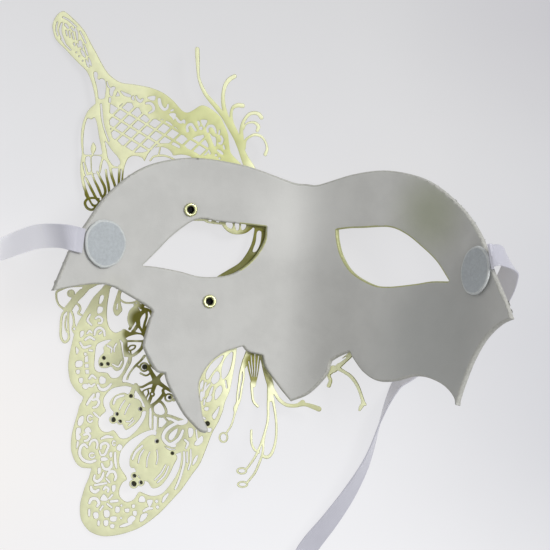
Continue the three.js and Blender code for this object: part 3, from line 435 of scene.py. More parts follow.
# ---------------------------------------------------------------- drawing (mm, drawing's frame)
SHELL = [
    [[-80.33,-5.73],[-77.88,0.72],[-73.79,10.44],[-68.29,19.51],[-62.54,27.92],[-54.25,35.68],[-45.31,40.56],[-33.73,42.9],[-23.88,42.62],[-14.35,41.02],[-7.73,39.39],[2.21,35.77],[7.75,33.95],[12.17,33.57],[15.48,33.17],[19.5,34.06],[28.93,36.76],[38.29,38.03],[45.78,37.42],[53.86,35.07],[59.95,31.41],[65.84,25.91],[70.47,20.14],[74.46,12.59],[77.07,3.27],[81.31,-8.38],[83.47,-15.35]],
    [[83.47,-15.35],[79.6,-17.6],[75.11,-22.6],[71.07,-30.09],[67.52,-39.48],[65.36,-46.6]],
    [[65.36,-46.6],[63.98,-42.69],[60.5,-39.15],[55.11,-36.86],[50.29,-36.64],[44.36,-38.41],[38.03,-38.57],[33.09,-35.52],[29.44,-30.53],[28.2,-28.01]],
    [[28.2,-28.01],[24.17,-29.84],[21.27,-31.65]],
    [[21.27,-31.65],[19.3,-37.06],[12.87,-43.68],[5.89,-46.67]],
    [[5.89,-46.67],[1.47,-41.45],[-3.68,-34.26],[-5.01,-29.62]],
    [[-5.01,-29.62],[-10.3,-28.25],[-12.21,-26.26]],
    [[-12.21,-26.26],[-16.52,-27.54],[-19.26,-28.61],[-23.22,-31.5],[-26.23,-35.12],[-28.07,-39.1],[-28.27,-42.55],[-27.56,-47.09],[-26.85,-51.79],[-24.97,-56.51],[-25.4,-57.76]],
    [[-25.4,-57.76],[-27.68,-57.04],[-30.74,-54.01],[-33.75,-50.54],[-37.0,-44.72],[-39.56,-39.41],[-40.52,-35.93]],
    [[-40.52,-35.93],[-43.51,-35.21],[-45.87,-31.49],[-48.23,-26.57],[-48.07,-23.67],[-46.67,-18.23],[-45.04,-13.36]],
    [[-45.04,-13.36],[-46.7,-11.67],[-53.15,-7.79],[-59.53,-4.21],[-65.62,-3.26],[-74.78,-4.49],[-80.33,-5.73]],
]
EYE_L = [
    [[-49.03,3.34],[-43.89,8.44],[-38.06,14.38],[-30.79,19.67],[-26.18,20.64],[-20.91,19.7],[-9.18,18.46],[-3.62,17.84]],
    [[-3.62,17.84],[-4.34,12.58],[-7.92,6.65],[-13.15,1.97],[-18.98,-0.42],[-27.5,-0.74],[-35.36,1.25],[-43.88,2.86],[-49.03,3.34]],
]
EYE_R = [
    [[23.71,16.62],[28.04,17.11],[32.59,17.16],[42.01,17.34],[48.26,14.73],[54.43,9.59],[59.29,4.5],[63.5,-2.44]],
    [[63.5,-2.44],[57.44,-2.45],[51.31,-3.44],[41.98,-4.39],[36.28,-3.44],[29.5,0.75],[25.68,6.58],[24.08,12.41],[23.71,16.62]],
]
# Cuts and bars of the etched sheet, in order: R runs, P polygon, L curved bar, S straight bar, D dot; + adds metal, - cuts it.
OPS = [
    ["R+",1,[[[-81.54,94.45],[-82.25,92.13],[-81.54,88.57],[-80.34,86.4],[-77.27,83.33],[-74.39,80.19],[-71.77,77.57],[-69.42,75.22],[-67.93,72.14],[-67.0,69.03],[-66.29,65.51],[-66.1,63.26]],[[-66.1,63.26],[-68.45,61.18],[-69.9,58.83],[-71.06,55.55],[-71.54,52.08],[-71.54,48.39],[-71.21,44.95],[-71.81,40.26],[-71.66,36.57],[-70.91,32.5],[-69.42,28.8],[-67.56,25.47]],[[-67.56,25.47],[-63.83,23.98],[-57.88,25.07],[-52.68,26.52],[-46.0,26.13],[-40.07,24.27],[-34.9,21.31]],[[-34.9,21.31],[-30.51,20.04],[-25.75,19.87],[-20.98,19.29],[-19.33,19.15]],[[-19.33,19.15],[-17.49,16.94],[-14.37,15.62],[-10.69,16.41],[-8.78,19.36]],[[-8.78,19.36],[-9.95,23.23],[-10.5,27.64],[-10.61,32.8],[-10.68,37.95]],[[-10.68,37.95],[-12.71,41.06],[-14.8,43.15],[-16.42,45.27],[-16.93,48.28],[-17.36,51.79],[-18.53,54.79],[-19.92,57.86],[-22.05,59.93],[-24.83,61.78],[-27.18,62.25],[-29.53,60.86],[-31.85,59.69],[-33.73,60.14],[-35.39,61.8],[-37.75,64.4],[-41.23,67.01],[-45.93,68.93],[-51.86,70.17],[-56.58,70.84],[-60.11,73.02],[-62.27,75.36],[-64.39,78.97],[-66.07,82.24],[-67.94,85.55],[-69.88,89.38],[-72.04,92.22],[-74.4,94.61],[-76.79,96.76],[-78.4,97.48],[-80.34,96.32],[-81.54,94.45]]]],
    ["L-",1,[[-78.77,93.01,0.58],[-79.33,90.98,0.87],[-79.07,89.13,0.87],[-78.17,86.89,0.66],[-77.27,85.03,0.44]]],
    ["L-",1,[[-77.35,92.58,0.8],[-76.38,91.39,0.73]]],
    ["L-",1,[[-77.2,90.21,0.44],[-76.75,88.54,0.44]]],
    ["L-",1,[[-75.96,90.01,0.47],[-75.66,87.97,0.47]]],
    ["L-",1,[[-73.8,91.06,0.58],[-73.16,89.42,0.8],[-72.94,87.01,0.47]]],
    ["L-",1,[[-74.81,89.44,0.44],[-74.28,87.22,0.44]]],
    ["P-",1,[[-71.93,86.82],[-71.18,85.7],[-70.92,83.48],[-71.74,84.6]]],
    ["P-",1,[[-70.47,85.1],[-69.31,82.9],[-68.87,80.87],[-69.72,82.17]]],
    ["P-",1,[[-71.81,83.3],[-70.58,82.37],[-69.87,80.32],[-71.07,81.26]]],
    ["P-",1,[[-68.83,80.35],[-67.86,78.64],[-67.63,77.01],[-68.6,78.28]]],
    ["P-",1,[[-69.8,79.58],[-68.68,78.09],[-68.45,76.58],[-69.42,77.55]]],
    ["L-",1,[[-72.97,85.35,0.4],[-72.41,84.24,0.44]]],
    ["L-",1,[[-74.21,85.51,0.51],[-73.94,84.92,0.51]]],
    ["P-",1,[[-66.74,74.79],[-65.77,74.85],[-65.36,73.81],[-65.51,72.59],[-64.84,71.96],[-64.02,72.43],[-62.98,72.01],[-62.42,70.83],[-62.3,68.8],[-62.6,66.59],[-62.94,65.22],[-64.84,65.09],[-65.25,67.16],[-65.69,69.75],[-66.29,71.79],[-66.74,73.46]]],
    ["L-",1,[[-61.9,71.19,0.36],[-61.45,69.71,0.4],[-60.78,68.97,0.36]]],
    ["P-",1,[[-60.89,68.23],[-59.81,69.4],[-58.77,68.95],[-59.51,67.66],[-59.96,66.01],[-60.78,66.38]]],
    ["P-",1,[[-61.11,65.35],[-60.41,65.27],[-60.55,63.62],[-61.22,63.81]]],
    ["P-",0,[[-58.62,65.85],[-57.88,67.54],[-57.13,65.98]]],
    ["P-",1,[[-56.76,67.75],[-55.09,67.07],[-53.05,66.24],[-53.2,65.57],[-55.46,66.11]]],
    ["L-",1,[[-64.09,62.91,0.66],[-63.9,60.51,0.73],[-63.61,57.55,0.66],[-63.12,54.97,0.51],[-62.12,51.82,0.47],[-61.15,49.42,0.44]]],
    ["P-",1,[[-62.56,49.25],[-61.59,48.13],[-60.11,45.91],[-58.25,43.87],[-57.13,42.02],[-57.21,40.25],[-58.25,40.04],[-59.73,40.56],[-60.85,42.04],[-61.67,43.71],[-61.97,46.11],[-62.41,47.77]]],
    ["P-",1,[[-68.9,57.82],[-67.74,57.37],[-66.59,58.02],[-65.91,56.84],[-65.47,54.99],[-65.09,52.4],[-64.72,50.18],[-64.27,48.34],[-63.98,46.49],[-63.9,44.57],[-67.18,44.52],[-70.24,44.61],[-70.61,46.53],[-70.69,49.12],[-70.54,52.07],[-70.09,55.02],[-69.49,57.05]]],
    ["P+",1,[[-67.03,48.91],[-66.14,47.61],[-66.06,46.32],[-66.58,45.21],[-67.33,44.3],[-67.85,46.15],[-67.7,47.62]]],
    ["P-",1,[[-69.64,43.57],[-68.22,43.49],[-68.08,41.35],[-68.0,38.39],[-68.82,38.03],[-69.27,39.51],[-69.94,41.73]]],
    ["P-",1,[[-67.33,43.78],[-64.2,43.69],[-64.13,42.25],[-64.65,40.77],[-64.87,38.75],[-65.02,37.71],[-67.26,37.8],[-67.52,40.98]]],
    ["L-",1,[[-70.69,41.36,0.36],[-70.16,38.41,0.44],[-69.42,36.19,0.36]]],
    ["P-",1,[[-63.98,36.75],[-62.9,36.23],[-61.67,37.25],[-60.85,35.59],[-59.96,33.19],[-60.29,31.35],[-61.97,29.88],[-63.98,30.62],[-64.72,32.47],[-64.57,35.05]]],
    ["P-",1,[[-59.81,39.23],[-58.17,39.0],[-57.76,37.23],[-57.91,34.47],[-58.47,33.55],[-59.51,35.95],[-60.48,38.17]]],
    ["P-",0,[[-60.63,63.06],[-59.51,63.2],[-58.25,62.38],[-57.32,62.11],[-55.65,63.53],[-52.75,63.29],[-51.93,61.66],[-50.08,61.49],[-49.04,59.5],[-47.33,58.52],[-46.15,57.19],[-42.11,57.3],[-40.45,56.92],[-38.6,56.02],[-37.34,54.84],[-36.16,53.95],[-34.39,52.32],[-33.29,50.93],[-32.12,49.9],[-30.87,49.75],[-29.03,50.86],[-26.31,51.53],[-26.02,50.35],[-24.71,48.16],[-24.2,45.96],[-25.3,44.27],[-26.32,43.9],[-27.72,43.53],[-29.62,44.69],[-30.72,45.87],[-32.71,46.82],[-34.32,47.33],[-35.13,46.6],[-37.49,47.78],[-38.75,48.53],[-42.3,48.48],[-44.15,46.94],[-46.15,45.93],[-48.37,45.21],[-51.19,45.15],[-53.19,45.61],[-55.65,47.17],[-57.65,49.25],[-59.81,50.66],[-60.55,53.47],[-60.93,56.79],[-60.78,60.11]]],
    ["S+",0,[[-56.02,47.42,0.86],[-52.62,45.35,0.86]]],
    ["S+",0,[[-61.16,57.52,0.86],[-54.77,63.76,0.86]]],
    ["S+",0,[[-61.03,54.95,0.86],[-45.86,45.71,0.86]]],
    ["S+",0,[[-60.71,52.71,0.86],[-51.3,61.9,0.86]]],
    ["S+",0,[[-61.14,59.51,0.86],[-42.29,48.01,0.86]]],
    ["S+",0,[[-58.67,49.45,0.86],[-48.35,59.54,0.86]]],
    ["S+",0,[[-60.12,63.37,0.86],[-32.99,46.81,0.86]]],
    ["S+",0,[[-30.13,45.08,0.86],[-27.28,43.36,0.86]]],
    ["S+",0,[[-55.92,46.89,0.86],[-45.1,57.49,0.86]]],
    ["S+",0,[[-43.16,57.48,0.86],[-33.77,51.75,0.86]]],
    ["S+",0,[[-31.0,50.07,0.86],[-23.87,45.77,0.86]]],
    ["S+",0,[[-52.41,45.09,0.86],[-40.08,57.16,0.86]]],
    ["S+",0,[[-46.5,45.63,0.86],[-36.93,55.01,0.86]]],
    ["S+",0,[[-38.69,48.05,0.86],[-34.09,52.57,0.86]]],
    ["S+",0,[[-34.44,47.0,0.86],[-31.3,50.11,0.86]]],
    ["S+",0,[[-30.81,45.38,0.86],[-25.67,50.5,0.86]]],
    ["S+",0,[[-27.61,43.35,0.86],[-24.07,46.89,0.86]]],
    ["L-",1,[[-52.12,65.75,0.58],[-52.45,65.01,0.73],[-51.86,64.53,0.44]]],
    ["L-",1,[[-51.04,65.74,0.58],[-50.52,64.67,0.8],[-49.49,63.92,0.95],[-48.67,64.65,0.66]]],
    ["P-",1,[[-46.82,65.4],[-44.71,65.86],[-43.93,65.56],[-44.22,64.31],[-45.19,64.25],[-46.19,64.59]]],
    ["L-",1,[[-47.34,63.16,0.66],[-46.0,63.22,0.87],[-44.96,62.44,0.95],[-44.52,61.08,1.02],[-45.04,60.27,0.73],[-46.22,59.62,0.66]]],
    ["L-",1,[[-42.52,64.55,1.09],[-42.3,63.08,1.24],[-41.63,61.68,1.09],[-40.6,60.86,0.95],[-39.56,61.4,0.8],[-39.27,62.57,0.58]]],
    ["L-",1,[[-38.08,60.43,0.58],[-37.34,60.65,0.51]]],
    ["P-",1,[[-38.86,59.11],[-37.31,59.47],[-36.38,59.06],[-36.53,57.88],[-37.19,56.97],[-37.75,57.86]]],
    ["L-",1,[[-36.16,57.7,0.66],[-35.5,56.63,0.87],[-34.46,56.07,0.8],[-33.43,56.65,0.8],[-33.21,55.92,0.58]]],
    ["L-",1,[[-32.08,52.91,0.95],[-32.33,54.19,0.8],[-31.67,55.18,0.8],[-30.64,55.33,0.87],[-29.91,54.3,0.8],[-29.17,53.2,0.8]]],
    ["P-",1,[[-28.55,56.39],[-27.92,56.5],[-27.56,55.48],[-28.0,54.67]]],
    ["P-",1,[[-27.85,54.27],[-26.82,54.46],[-26.75,53.43],[-27.56,53.35]]],
    ["P-",1,[[-27.19,56.84],[-24.99,56.77],[-25.5,55.3],[-26.09,54.38]]],
    ["L-",1,[[-24.7,52.71,0.73],[-24.92,53.8,0.8],[-24.11,54.72,0.87],[-22.94,54.69,0.95],[-22.13,53.67,0.8],[-21.69,52.21,0.44]]],
    ["P-",1,[[-23.97,51.98],[-22.98,50.99],[-21.95,50.56],[-21.73,48.91],[-21.99,47.26],[-22.73,48.36],[-23.35,50.0]]],
    ["L-",1,[[-20.44,53.09,0.47],[-20.63,51.85,0.58]]],
    ["L-",1,[[-19.93,51.12,0.51],[-19.35,49.84,0.73],[-19.86,48.41,0.73],[-20.6,48.55,0.51]]],
    ["L-",1,[[-18.98,47.61,0.51],[-18.69,46.51,0.58]]],
    ["L-",1,[[-21.11,45.91,0.58],[-20.09,45.25,0.87],[-19.35,44.6,0.58]]],
    ["D-",0,[[-21.78,44.07,0.95]]],
    ["L-",1,[[-24.42,45.82,0.47],[-23.94,44.68,0.58]]],
    ["D-",0,[[-20.46,42.9,0.8]]],
    ["P-",1,[[-55.57,35.01],[-55.65,37.96],[-55.13,40.53],[-54.01,42.88],[-52.3,43.76],[-50.08,43.6],[-48.59,42.78],[-48.0,41.82],[-47.41,42.92],[-46.37,44.83],[-44.52,46.58],[-41.93,47.08],[-39.34,46.32],[-37.86,44.84],[-37.27,43.89],[-34.18,44.21],[-31.02,43.44],[-31.24,42.27],[-36.39,41.53],[-40.82,41.19],[-45.26,39.37],[-49.34,37.55],[-53.05,35.0]]],
    ["L+",1,[[-55.42,36.11,0.51],[-53.42,37.95,0.73],[-51.93,39.19,0.8],[-50.67,39.51,0.73],[-49.34,39.98,0.44],[-47.48,40.34,0.44]]],
    ["L+",1,[[-54.42,39.24,0.36],[-53.57,38.83,0.51],[-52.82,38.13,0.44]]],
    ["L+",1,[[-51.71,40.33,0.36],[-51.49,39.19,0.58]]],
    ["L+",1,[[-51.71,40.22,0.44],[-51.19,41.98,0.36],[-50.45,43.45,0.36]]],
    ["L+",1,[[-43.04,43.59,0.36],[-42.52,45.06,0.51],[-42.15,46.89,0.44]]],
    ["L+",1,[[-45.82,42.14,0.58],[-44.67,43.49,0.66],[-43.04,43.85,0.8],[-40.82,43.91,0.73],[-38.6,43.23,0.66],[-36.39,42.08,0.66]]],
    ["P-",1,[[-63.08,42.42],[-61.22,39.46],[-61.97,34.3],[-63.08,31.36],[-65.69,31.37],[-64.2,38.0]]],
    ["P-",1,[[-57.88,31.33],[-54.9,35.01],[-49.71,37.92],[-45.26,39.37],[-43.78,36.42],[-47.48,33.5],[-51.93,30.57],[-56.39,28.75]]],
    ["P-",1,[[-42.3,38.62],[-36.76,40.25],[-31.98,40.06],[-31.25,34.92],[-35.65,31.24],[-40.08,31.99]]],
    ["P-",1,[[-29.04,40.07],[-23.18,39.73],[-18.04,38.29],[-17.31,33.51],[-21.72,30.55],[-26.11,32.74]]],
    ["P-",1,[[-25.38,28.33],[-20.98,27.61],[-15.84,29.1],[-14.37,25.42],[-18.05,22.83],[-23.92,23.18]]],
    ["P-",1,[[-70.31,36.19],[-67.55,37.06],[-64.35,37.49],[-61.22,38.58],[-56.91,39.22],[-56.54,35.75],[-57.5,32.44],[-60.48,30.61],[-63.46,28.41],[-65.92,26.2],[-67.41,26.73],[-68.75,29.91],[-69.94,33.24]]],
    ["L+",1,[[-69.79,35.82,0.66],[-68.45,33.23,0.87],[-67.18,30.64,0.95],[-65.84,28.2,0.87],[-64.8,26.94,0.73]]],
    ["L+",1,[[-67.41,37.28,0.58],[-66.44,34.69,0.73],[-65.17,32.11,0.95],[-63.98,29.15,0.87]]],
    ["L+",1,[[-65.47,38.01,0.73],[-64.05,35.05,0.87],[-62.79,32.46,1.02],[-62.56,30.25,0.95],[-63.61,28.41,0.8]]],
    ["L+",1,[[-62.34,38.73,0.73],[-61.97,35.78,0.8],[-61.37,33.19,0.95],[-61.0,29.87,0.87]]],
    ["L+",1,[[-60.63,39.09,0.8],[-60.11,36.51,0.95],[-59.36,34.29,0.95],[-58.47,31.34,0.87]]],
    ["L+",1,[[-57.21,40.18,0.87],[-57.36,36.86,0.95],[-57.58,32.07,0.87]]],
    ["L+",1,[[-64.95,28.05,0.73],[-66.81,28.42,0.8],[-68.9,28.21,0.87],[-70.09,26.74,0.95],[-69.35,24.81,0.95],[-67.48,24.07,0.95],[-65.69,25.47,0.8],[-64.72,27.31,0.73]]],
    ["L+",1,[[-68.9,28.21,0.73],[-69.79,29.54,0.73],[-69.94,31.76,0.73]]],
    ["L-",1,[[-80.42,93.44,0.4],[-80.86,91.0,0.44],[-80.26,88.55,0.4]]],
    ["L-",1,[[-78.25,95.26,0.4],[-76.3,94.27,0.44],[-74.51,92.62,0.44],[-73.31,91.64,0.36]]],
    ["L-",1,[[-71.89,89.92,0.4],[-70.77,87.76,0.47],[-69.8,85.68,0.4]]],
    ["L-",1,[[-78.92,87.13,0.4],[-77.05,84.81,0.44],[-75.4,83.16,0.4]]],
    ["L-",1,[[-72.26,86.23,0.51],[-72.04,84.6,0.51]]],
    ["L-",1,[[-75.26,91.52,0.44],[-74.28,90.32,0.51]]],
    ["D-",0,[[-73.31,82.25,0.58]]],
    ["D-",0,[[-72.26,80.76,0.58]]],
    ["D-",0,[[-70.92,79.04,0.58]]],
    ["L+",1,[[-28.49,82.9,1.53],[-28.41,80.4,1.53],[-28.27,76.73,1.24],[-28.05,73.06,0.95],[-27.39,70.49,1.09],[-26.29,67.93,1.31],[-25.12,65.88,1.38],[-23.29,63.69,1.6],[-21.38,61.5,1.68],[-19.11,58.66,1.68],[-17.5,56.04,1.75],[-15.97,53.34,1.82],[-14.21,50.2,1.97],[-12.66,46.76,2.19],[-11.2,43.09,2.7],[-9.36,39.42,3.64],[-7.74,35.02,4.74],[-6.64,30.61,4.74]]],
    ["L+",1,[[-14.83,72.99,1.46],[-16.67,71.89,1.6],[-18.07,70.13,1.46],[-18.8,67.94,1.31],[-19.14,65.39,1.31],[-18.96,62.47,1.46],[-18.3,59.55,1.6],[-17.1,56.26,1.6]]],
    ["L+",1,[[-11.91,62.28,1.6],[-13.6,62.42,1.53],[-15.29,61.75,1.24],[-16.03,60.29,1.02],[-16.18,58.1,1.17],[-15.82,55.54,1.46],[-14.57,52.76,1.6],[-13.25,49.69,1.82]]],
    ["L+",1,[[-5.0,57.92,1.46],[-6.03,59.23,1.38],[-7.87,59.66,1.24],[-9.71,59.0,1.17],[-11.18,57.24,1.17],[-12.07,55.19,1.24],[-12.44,52.84,1.38],[-12.29,49.69,1.68],[-11.78,46.76,1.82]]],
    ["L+",1,[[-6.55,53.15,1.17],[-6.11,54.69,1.31],[-7.43,56.08,0.95],[-9.35,56.15,0.66],[-10.89,55.34,0.58],[-11.55,53.8,0.58]]],
    ["L+",1,[[-3.61,44.44,1.24],[-2.95,46.5,0.95],[-3.46,48.77,0.8],[-4.79,50.74,0.87],[-6.99,51.69,1.02],[-9.2,51.02,0.87],[-10.9,49.48,0.95],[-11.56,46.76,1.46]]],
    ["P+",1,[[-8.63,32.8],[-6.27,34.29],[-4.06,31.36],[-2.58,25.84],[-1.11,19.58],[0.0,12.94],[-0.37,5.55],[-1.85,-3.7],[-2.59,-12.93],[-4.06,-22.15],[-4.8,-28.4],[-9.94,-28.36],[-11.78,-25.77],[-12.7,-18.41],[-12.89,-11.05],[-13.08,-5.53],[-14.0,-1.84],[-18.04,-2.02],[-21.7,-1.1],[-18.04,1.47],[-12.9,4.79],[-9.22,10.33],[-7.75,15.86],[-7.75,19.55],[-8.48,23.23],[-9.03,27.65]]],
    ["P-",1,[[-6.45,28.77],[-5.16,28.77],[-4.06,24.73],[-3.51,20.67],[-4.8,19.93],[-5.72,23.98]]],
    ["P-",1,[[-6.64,15.87],[-5.17,15.87],[-5.54,11.81],[-7.01,8.86],[-8.3,8.85],[-7.2,12.18]]],
    ["P-",1,[[-9.96,1.11],[-4.8,4.8],[-3.32,3.32],[-4.06,-1.85],[-7.75,-4.8],[-10.69,-3.32]]],
    ["P-",1,[[-10.69,-7.74],[-5.54,-5.54],[-4.8,-9.97],[-6.27,-15.87],[-9.95,-16.59]]],
    ["P-",1,[[-9.95,-19.53],[-6.27,-18.82],[-7.01,-24.71],[-9.21,-25.42]]],
    ["L+",1,[[-19.88,19.88,0.87],[-18.19,17.31,0.95],[-16.1,15.84,1.02],[-13.78,15.44,1.02],[-11.24,15.85,1.02],[-9.33,17.15,1.09],[-8.26,18.41,1.17]]],
    ["P-",1,[[-18.19,19.0],[-16.72,19.6],[-15.62,18.64],[-16.06,17.17],[-17.31,17.53]]],
    ["P-",1,[[-14.81,18.79],[-13.97,19.23],[-13.27,18.57],[-13.49,16.73],[-14.37,16.65]]],
    ["P-",1,[[-12.53,18.72],[-11.57,19.02],[-10.69,18.21],[-11.28,16.96],[-12.31,16.73]]],
    ["L+",1,[[-27.22,22.07,1.46],[-25.24,20.01,1.24],[-22.82,19.43,1.17],[-19.88,19.29,1.46]]],
    ["L-",1,[[-24.28,20.02,0.47],[-23.62,19.94,0.47]]],
    ["L-",1,[[-21.5,19.73,0.47],[-20.84,19.58,0.47]]],
    ["R+",1,[[[-63.1,-3.91],[-66.86,-8.05],[-69.14,-11.82],[-71.05,-15.04],[-72.58,-17.48],[-73.74,-20.7],[-74.68,-24.1],[-75.66,-28.25],[-76.11,-30.69],[-76.37,-33.95],[-76.04,-37.24],[-75.37,-39.72],[-73.88,-42.19],[-72.24,-43.84],[-70.71,-45.13]],[[-70.71,-45.13],[-71.23,-46.65],[-72.24,-48.47],[-72.77,-50.66],[-73.67,-53.55],[-74.5,-56.56],[-75.17,-59.86],[-75.37,-63.97],[-74.7,-66.97],[-73.36,-69.58],[-71.53,-71.05],[-69.18,-71.36],[-67.68,-71.45]],[[-67.68,-71.45],[-68.7,-74.87],[-70.05,-77.85],[-71.06,-81.01],[-71.89,-84.32],[-72.04,-87.66],[-71.56,-90.47],[-70.07,-93.09],[-67.91,-95.06],[-64.7,-96.28],[-61.72,-96.46],[-57.62,-95.88],[-53.52,-94.68],[-49.88,-93.15],[-46.53,-90.96],[-42.89,-88.07],[-39.78,-84.93],[-36.63,-81.46],[-34.48,-79.11],[-32.37,-76.14],[-30.33,-73.17],[-27.56,-69.31],[-25.46,-64.29],[-22.98,-57.9],[-20.85,-54.1],[-19.19,-50.02],[-18.39,-46.72],[-16.74,-42.66],[-15.94,-38.56],[-14.89,-32.71],[-14.23,-27.37]],[[-14.23,-27.37],[-14.17,-20.24],[-14.36,-12.89],[-14.55,-7.0],[-15.47,-3.31]],[[-15.47,-3.31],[-19.5,-2.58],[-24.63,-3.68],[-30.5,-3.31],[-36.39,-2.21],[-42.31,-1.84],[-48.24,-2.95],[-54.17,-2.58],[-59.38,-2.21],[-63.1,-3.91]]]],
    ["P-",1,[[-33.44,-5.51],[-28.29,-5.51],[-27.55,-11.39],[-29.02,-15.8],[-33.44,-14.33]]],
    ["P-",1,[[-43.8,-16.56],[-39.35,-14.34],[-34.92,-16.54],[-34.92,-22.42],[-40.1,-24.65],[-44.54,-21.72]]],
    ["P-",1,[[-31.97,-18.74],[-26.82,-17.26],[-25.34,-23.14],[-29.02,-27.55],[-33.44,-26.09]]],
    ["P-",1,[[-44.54,-27.61],[-39.36,-26.85],[-36.4,-29.78],[-38.62,-33.47],[-43.06,-33.49]]],
    ["P-",1,[[-34.19,-29.77],[-29.76,-29.76],[-29.76,-34.9],[-32.71,-40.06],[-36.41,-36.41]]],
    ["P-",1,[[-20.96,-6.25],[-17.3,-6.26],[-16.56,-12.88],[-19.49,-16.54],[-21.69,-13.6]]],
    ["P-",1,[[-23.15,-18.74],[-18.75,-18.02],[-16.55,-22.43],[-19.47,-26.09],[-23.14,-25.34]]],
    ["L+",1,[[-64.59,-3.32,1.82],[-69.81,-3.55,1.46],[-76.16,-4.07,1.24],[-79.52,-5.55,0.87],[-80.8,-6.59,0.73],[-80.61,-9.4,0.66],[-79.45,-11.47,0.66],[-77.29,-12.94,0.95]]],
    ["L+",1,[[-77.36,-12.79,1.53],[-74.29,-9.06,1.68],[-71.3,-5.91,1.82],[-67.57,-3.54,2.19]]],
    ["L+",1,[[-69.06,-4.8,1.46],[-71.04,-7.31,1.17],[-73.36,-9.76,1.02],[-75.64,-13.16,0.95]]],
    ["D+",0,[[-75.34,-6.8,2.92]]],
    ["D-",0,[[-74.89,-7.61,0.73]]],
    ["D-",0,[[-75.86,-6.36,0.66]]],
    ["D-",0,[[-71.45,-4.88,0.66]]],
    ["L+",1,[[-75.41,-6.65,1.09],[-74.29,-8.87,1.09]]],
    ["P-",1,[[-65.89,-3.91],[-63.25,-4.02],[-66.98,-8.12],[-69.44,-11.67],[-71.31,-15.0],[-72.73,-17.37],[-74.52,-16.82],[-73.77,-13.68],[-71.87,-10.35],[-69.06,-7.02]]],
    ["L+",1,[[-73.7,-10.2,0.8],[-72.28,-11.23,0.87],[-71.91,-12.71,0.8],[-72.58,-14.04,0.87],[-71.5,-14.78,0.73]]],
    ["L+",1,[[-76.54,-12.57,0.95],[-78.33,-14.24,0.87],[-78.93,-16.28,0.84],[-79.16,-19.24,0.84],[-79.09,-22.94,0.87],[-77.75,-24.86,0.87],[-76.21,-23.56,0.87],[-76.32,-20.71,0.73],[-76.43,-16.64,0.69],[-76.31,-13.31,0.8]]],
    ["L+",1,[[-75.64,-12.57,0.87],[-74.52,-15.16,0.73],[-74.23,-18.11,0.87],[-74.12,-19.96,1.9],[-73.56,-21.81,1.09]]],
    ["D-",0,[[-74.12,-19.89,1.02]]],
    ["L+",1,[[-77.14,-15.16,0.44],[-77.59,-18.49,0.51],[-77.07,-20.71,0.44],[-76.4,-21.45,0.44]]],
    ["P-",1,[[-60.34,-4.57],[-61.17,-7.75],[-61.69,-10.7],[-61.91,-13.65],[-61.77,-16.97],[-60.8,-19.78],[-58.91,-21.17],[-57.01,-20.65],[-55.67,-19.83],[-54.18,-20.49],[-52.92,-21.23],[-52.85,-20.27],[-53.74,-18.8],[-54.4,-16.22],[-53.81,-13.42],[-52.17,-11.57],[-50.84,-10.68],[-51.21,-9.21],[-53.8,-6.63],[-57.52,-4.42]]],
    ["P+",1,[[-57.15,-4.57],[-58.04,-6.64],[-58.86,-9.22],[-59.61,-11.8],[-59.53,-13.43],[-58.79,-14.83],[-57.9,-14.97],[-56.78,-13.79],[-56.26,-12.76],[-56.85,-10.32],[-56.85,-7.37],[-56.18,-5.53]]],
    ["L+",1,[[-57.0,-9.0,0.58],[-55.66,-10.03,0.66],[-53.81,-10.32,0.66],[-51.95,-10.1,0.73],[-50.46,-9.58,0.87]]],
    ["L+",1,[[-58.26,-4.79,0.8],[-56.4,-4.94,0.8],[-55.66,-5.9,0.58]]],
    ["P-",1,[[-49.72,-10.46],[-47.5,-11.6],[-45.5,-13.25],[-46.24,-16.42],[-47.5,-20.62],[-49.73,-21.22],[-52.33,-20.34],[-53.14,-19.75],[-51.95,-17.69],[-50.84,-15.84],[-49.5,-13.63],[-50.17,-11.93]]],
    ["L+",1,[[-51.58,-10.91,0.95],[-50.09,-11.2,1.31],[-48.61,-11.42,1.17]]],
    ["L+",1,[[-49.5,-12.15,0.8],[-47.5,-12.63,1.24],[-46.02,-13.25,0.95],[-45.42,-14.72,0.8]]],
    ["L+",1,[[-47.72,-12.89,1.6],[-49.35,-14.36,1.53],[-50.39,-16.21,1.68],[-50.25,-18.42,1.46]]],
    ["L+",1,[[-48.76,-13.41,0.95],[-51.06,-15.92,0.95],[-52.21,-17.8,0.95],[-53.48,-19.83,1.02]]],
    ["L+",1,[[-47.28,-13.11,1.02],[-47.2,-15.46,0.87],[-47.95,-18.04,0.95],[-48.47,-21.73,1.31]]],
    ["L+",1,[[-45.8,-15.83,0.87],[-46.54,-18.04,1.02],[-47.5,-20.62,1.17]]],
    ["L+",1,[[-50.4,-18.42,1.38],[-51.73,-20.27,1.17],[-52.77,-21.74,1.38]]],
    ["L+",1,[[-50.32,-18.42,1.09],[-48.99,-20.41,0.87],[-48.25,-21.73,1.17]]],
    ["P+",1,[[-55.08,-21.97],[-52.33,-20.86],[-49.36,-21.51],[-47.87,-21.36],[-48.02,-23.94],[-55.3,-23.96]]],
    ["L-",1,[[-58.04,-10.69,0.36],[-58.19,-12.54,0.44]]],
    ["P-",1,[[-64.37,-7.9],[-63.25,-7.53],[-63.18,-8.86],[-64.15,-10.48],[-64.82,-10.34]]],
    ["P-",1,[[-65.19,-11.81],[-63.48,-12.03],[-63.85,-13.66],[-65.42,-14.1]]],
    ["P-",1,[[-71.84,-21.06],[-70.57,-20.69],[-70.72,-22.17],[-71.77,-23.06]]],
    ["P-",1,[[-73.56,-26.62],[-72.44,-27.87],[-73.27,-29.2]]],
    ["P-",1,[[-70.35,-28.67],[-69.46,-28.96],[-69.68,-29.71],[-70.43,-29.56]]],
    ["P-",1,[[-73.42,-32.01],[-71.25,-31.78],[-71.33,-33.63],[-73.49,-33.94]]],
    ["P-",1,[[-73.42,-35.27],[-72.08,-35.11],[-72.3,-36.45],[-73.27,-36.38]]],
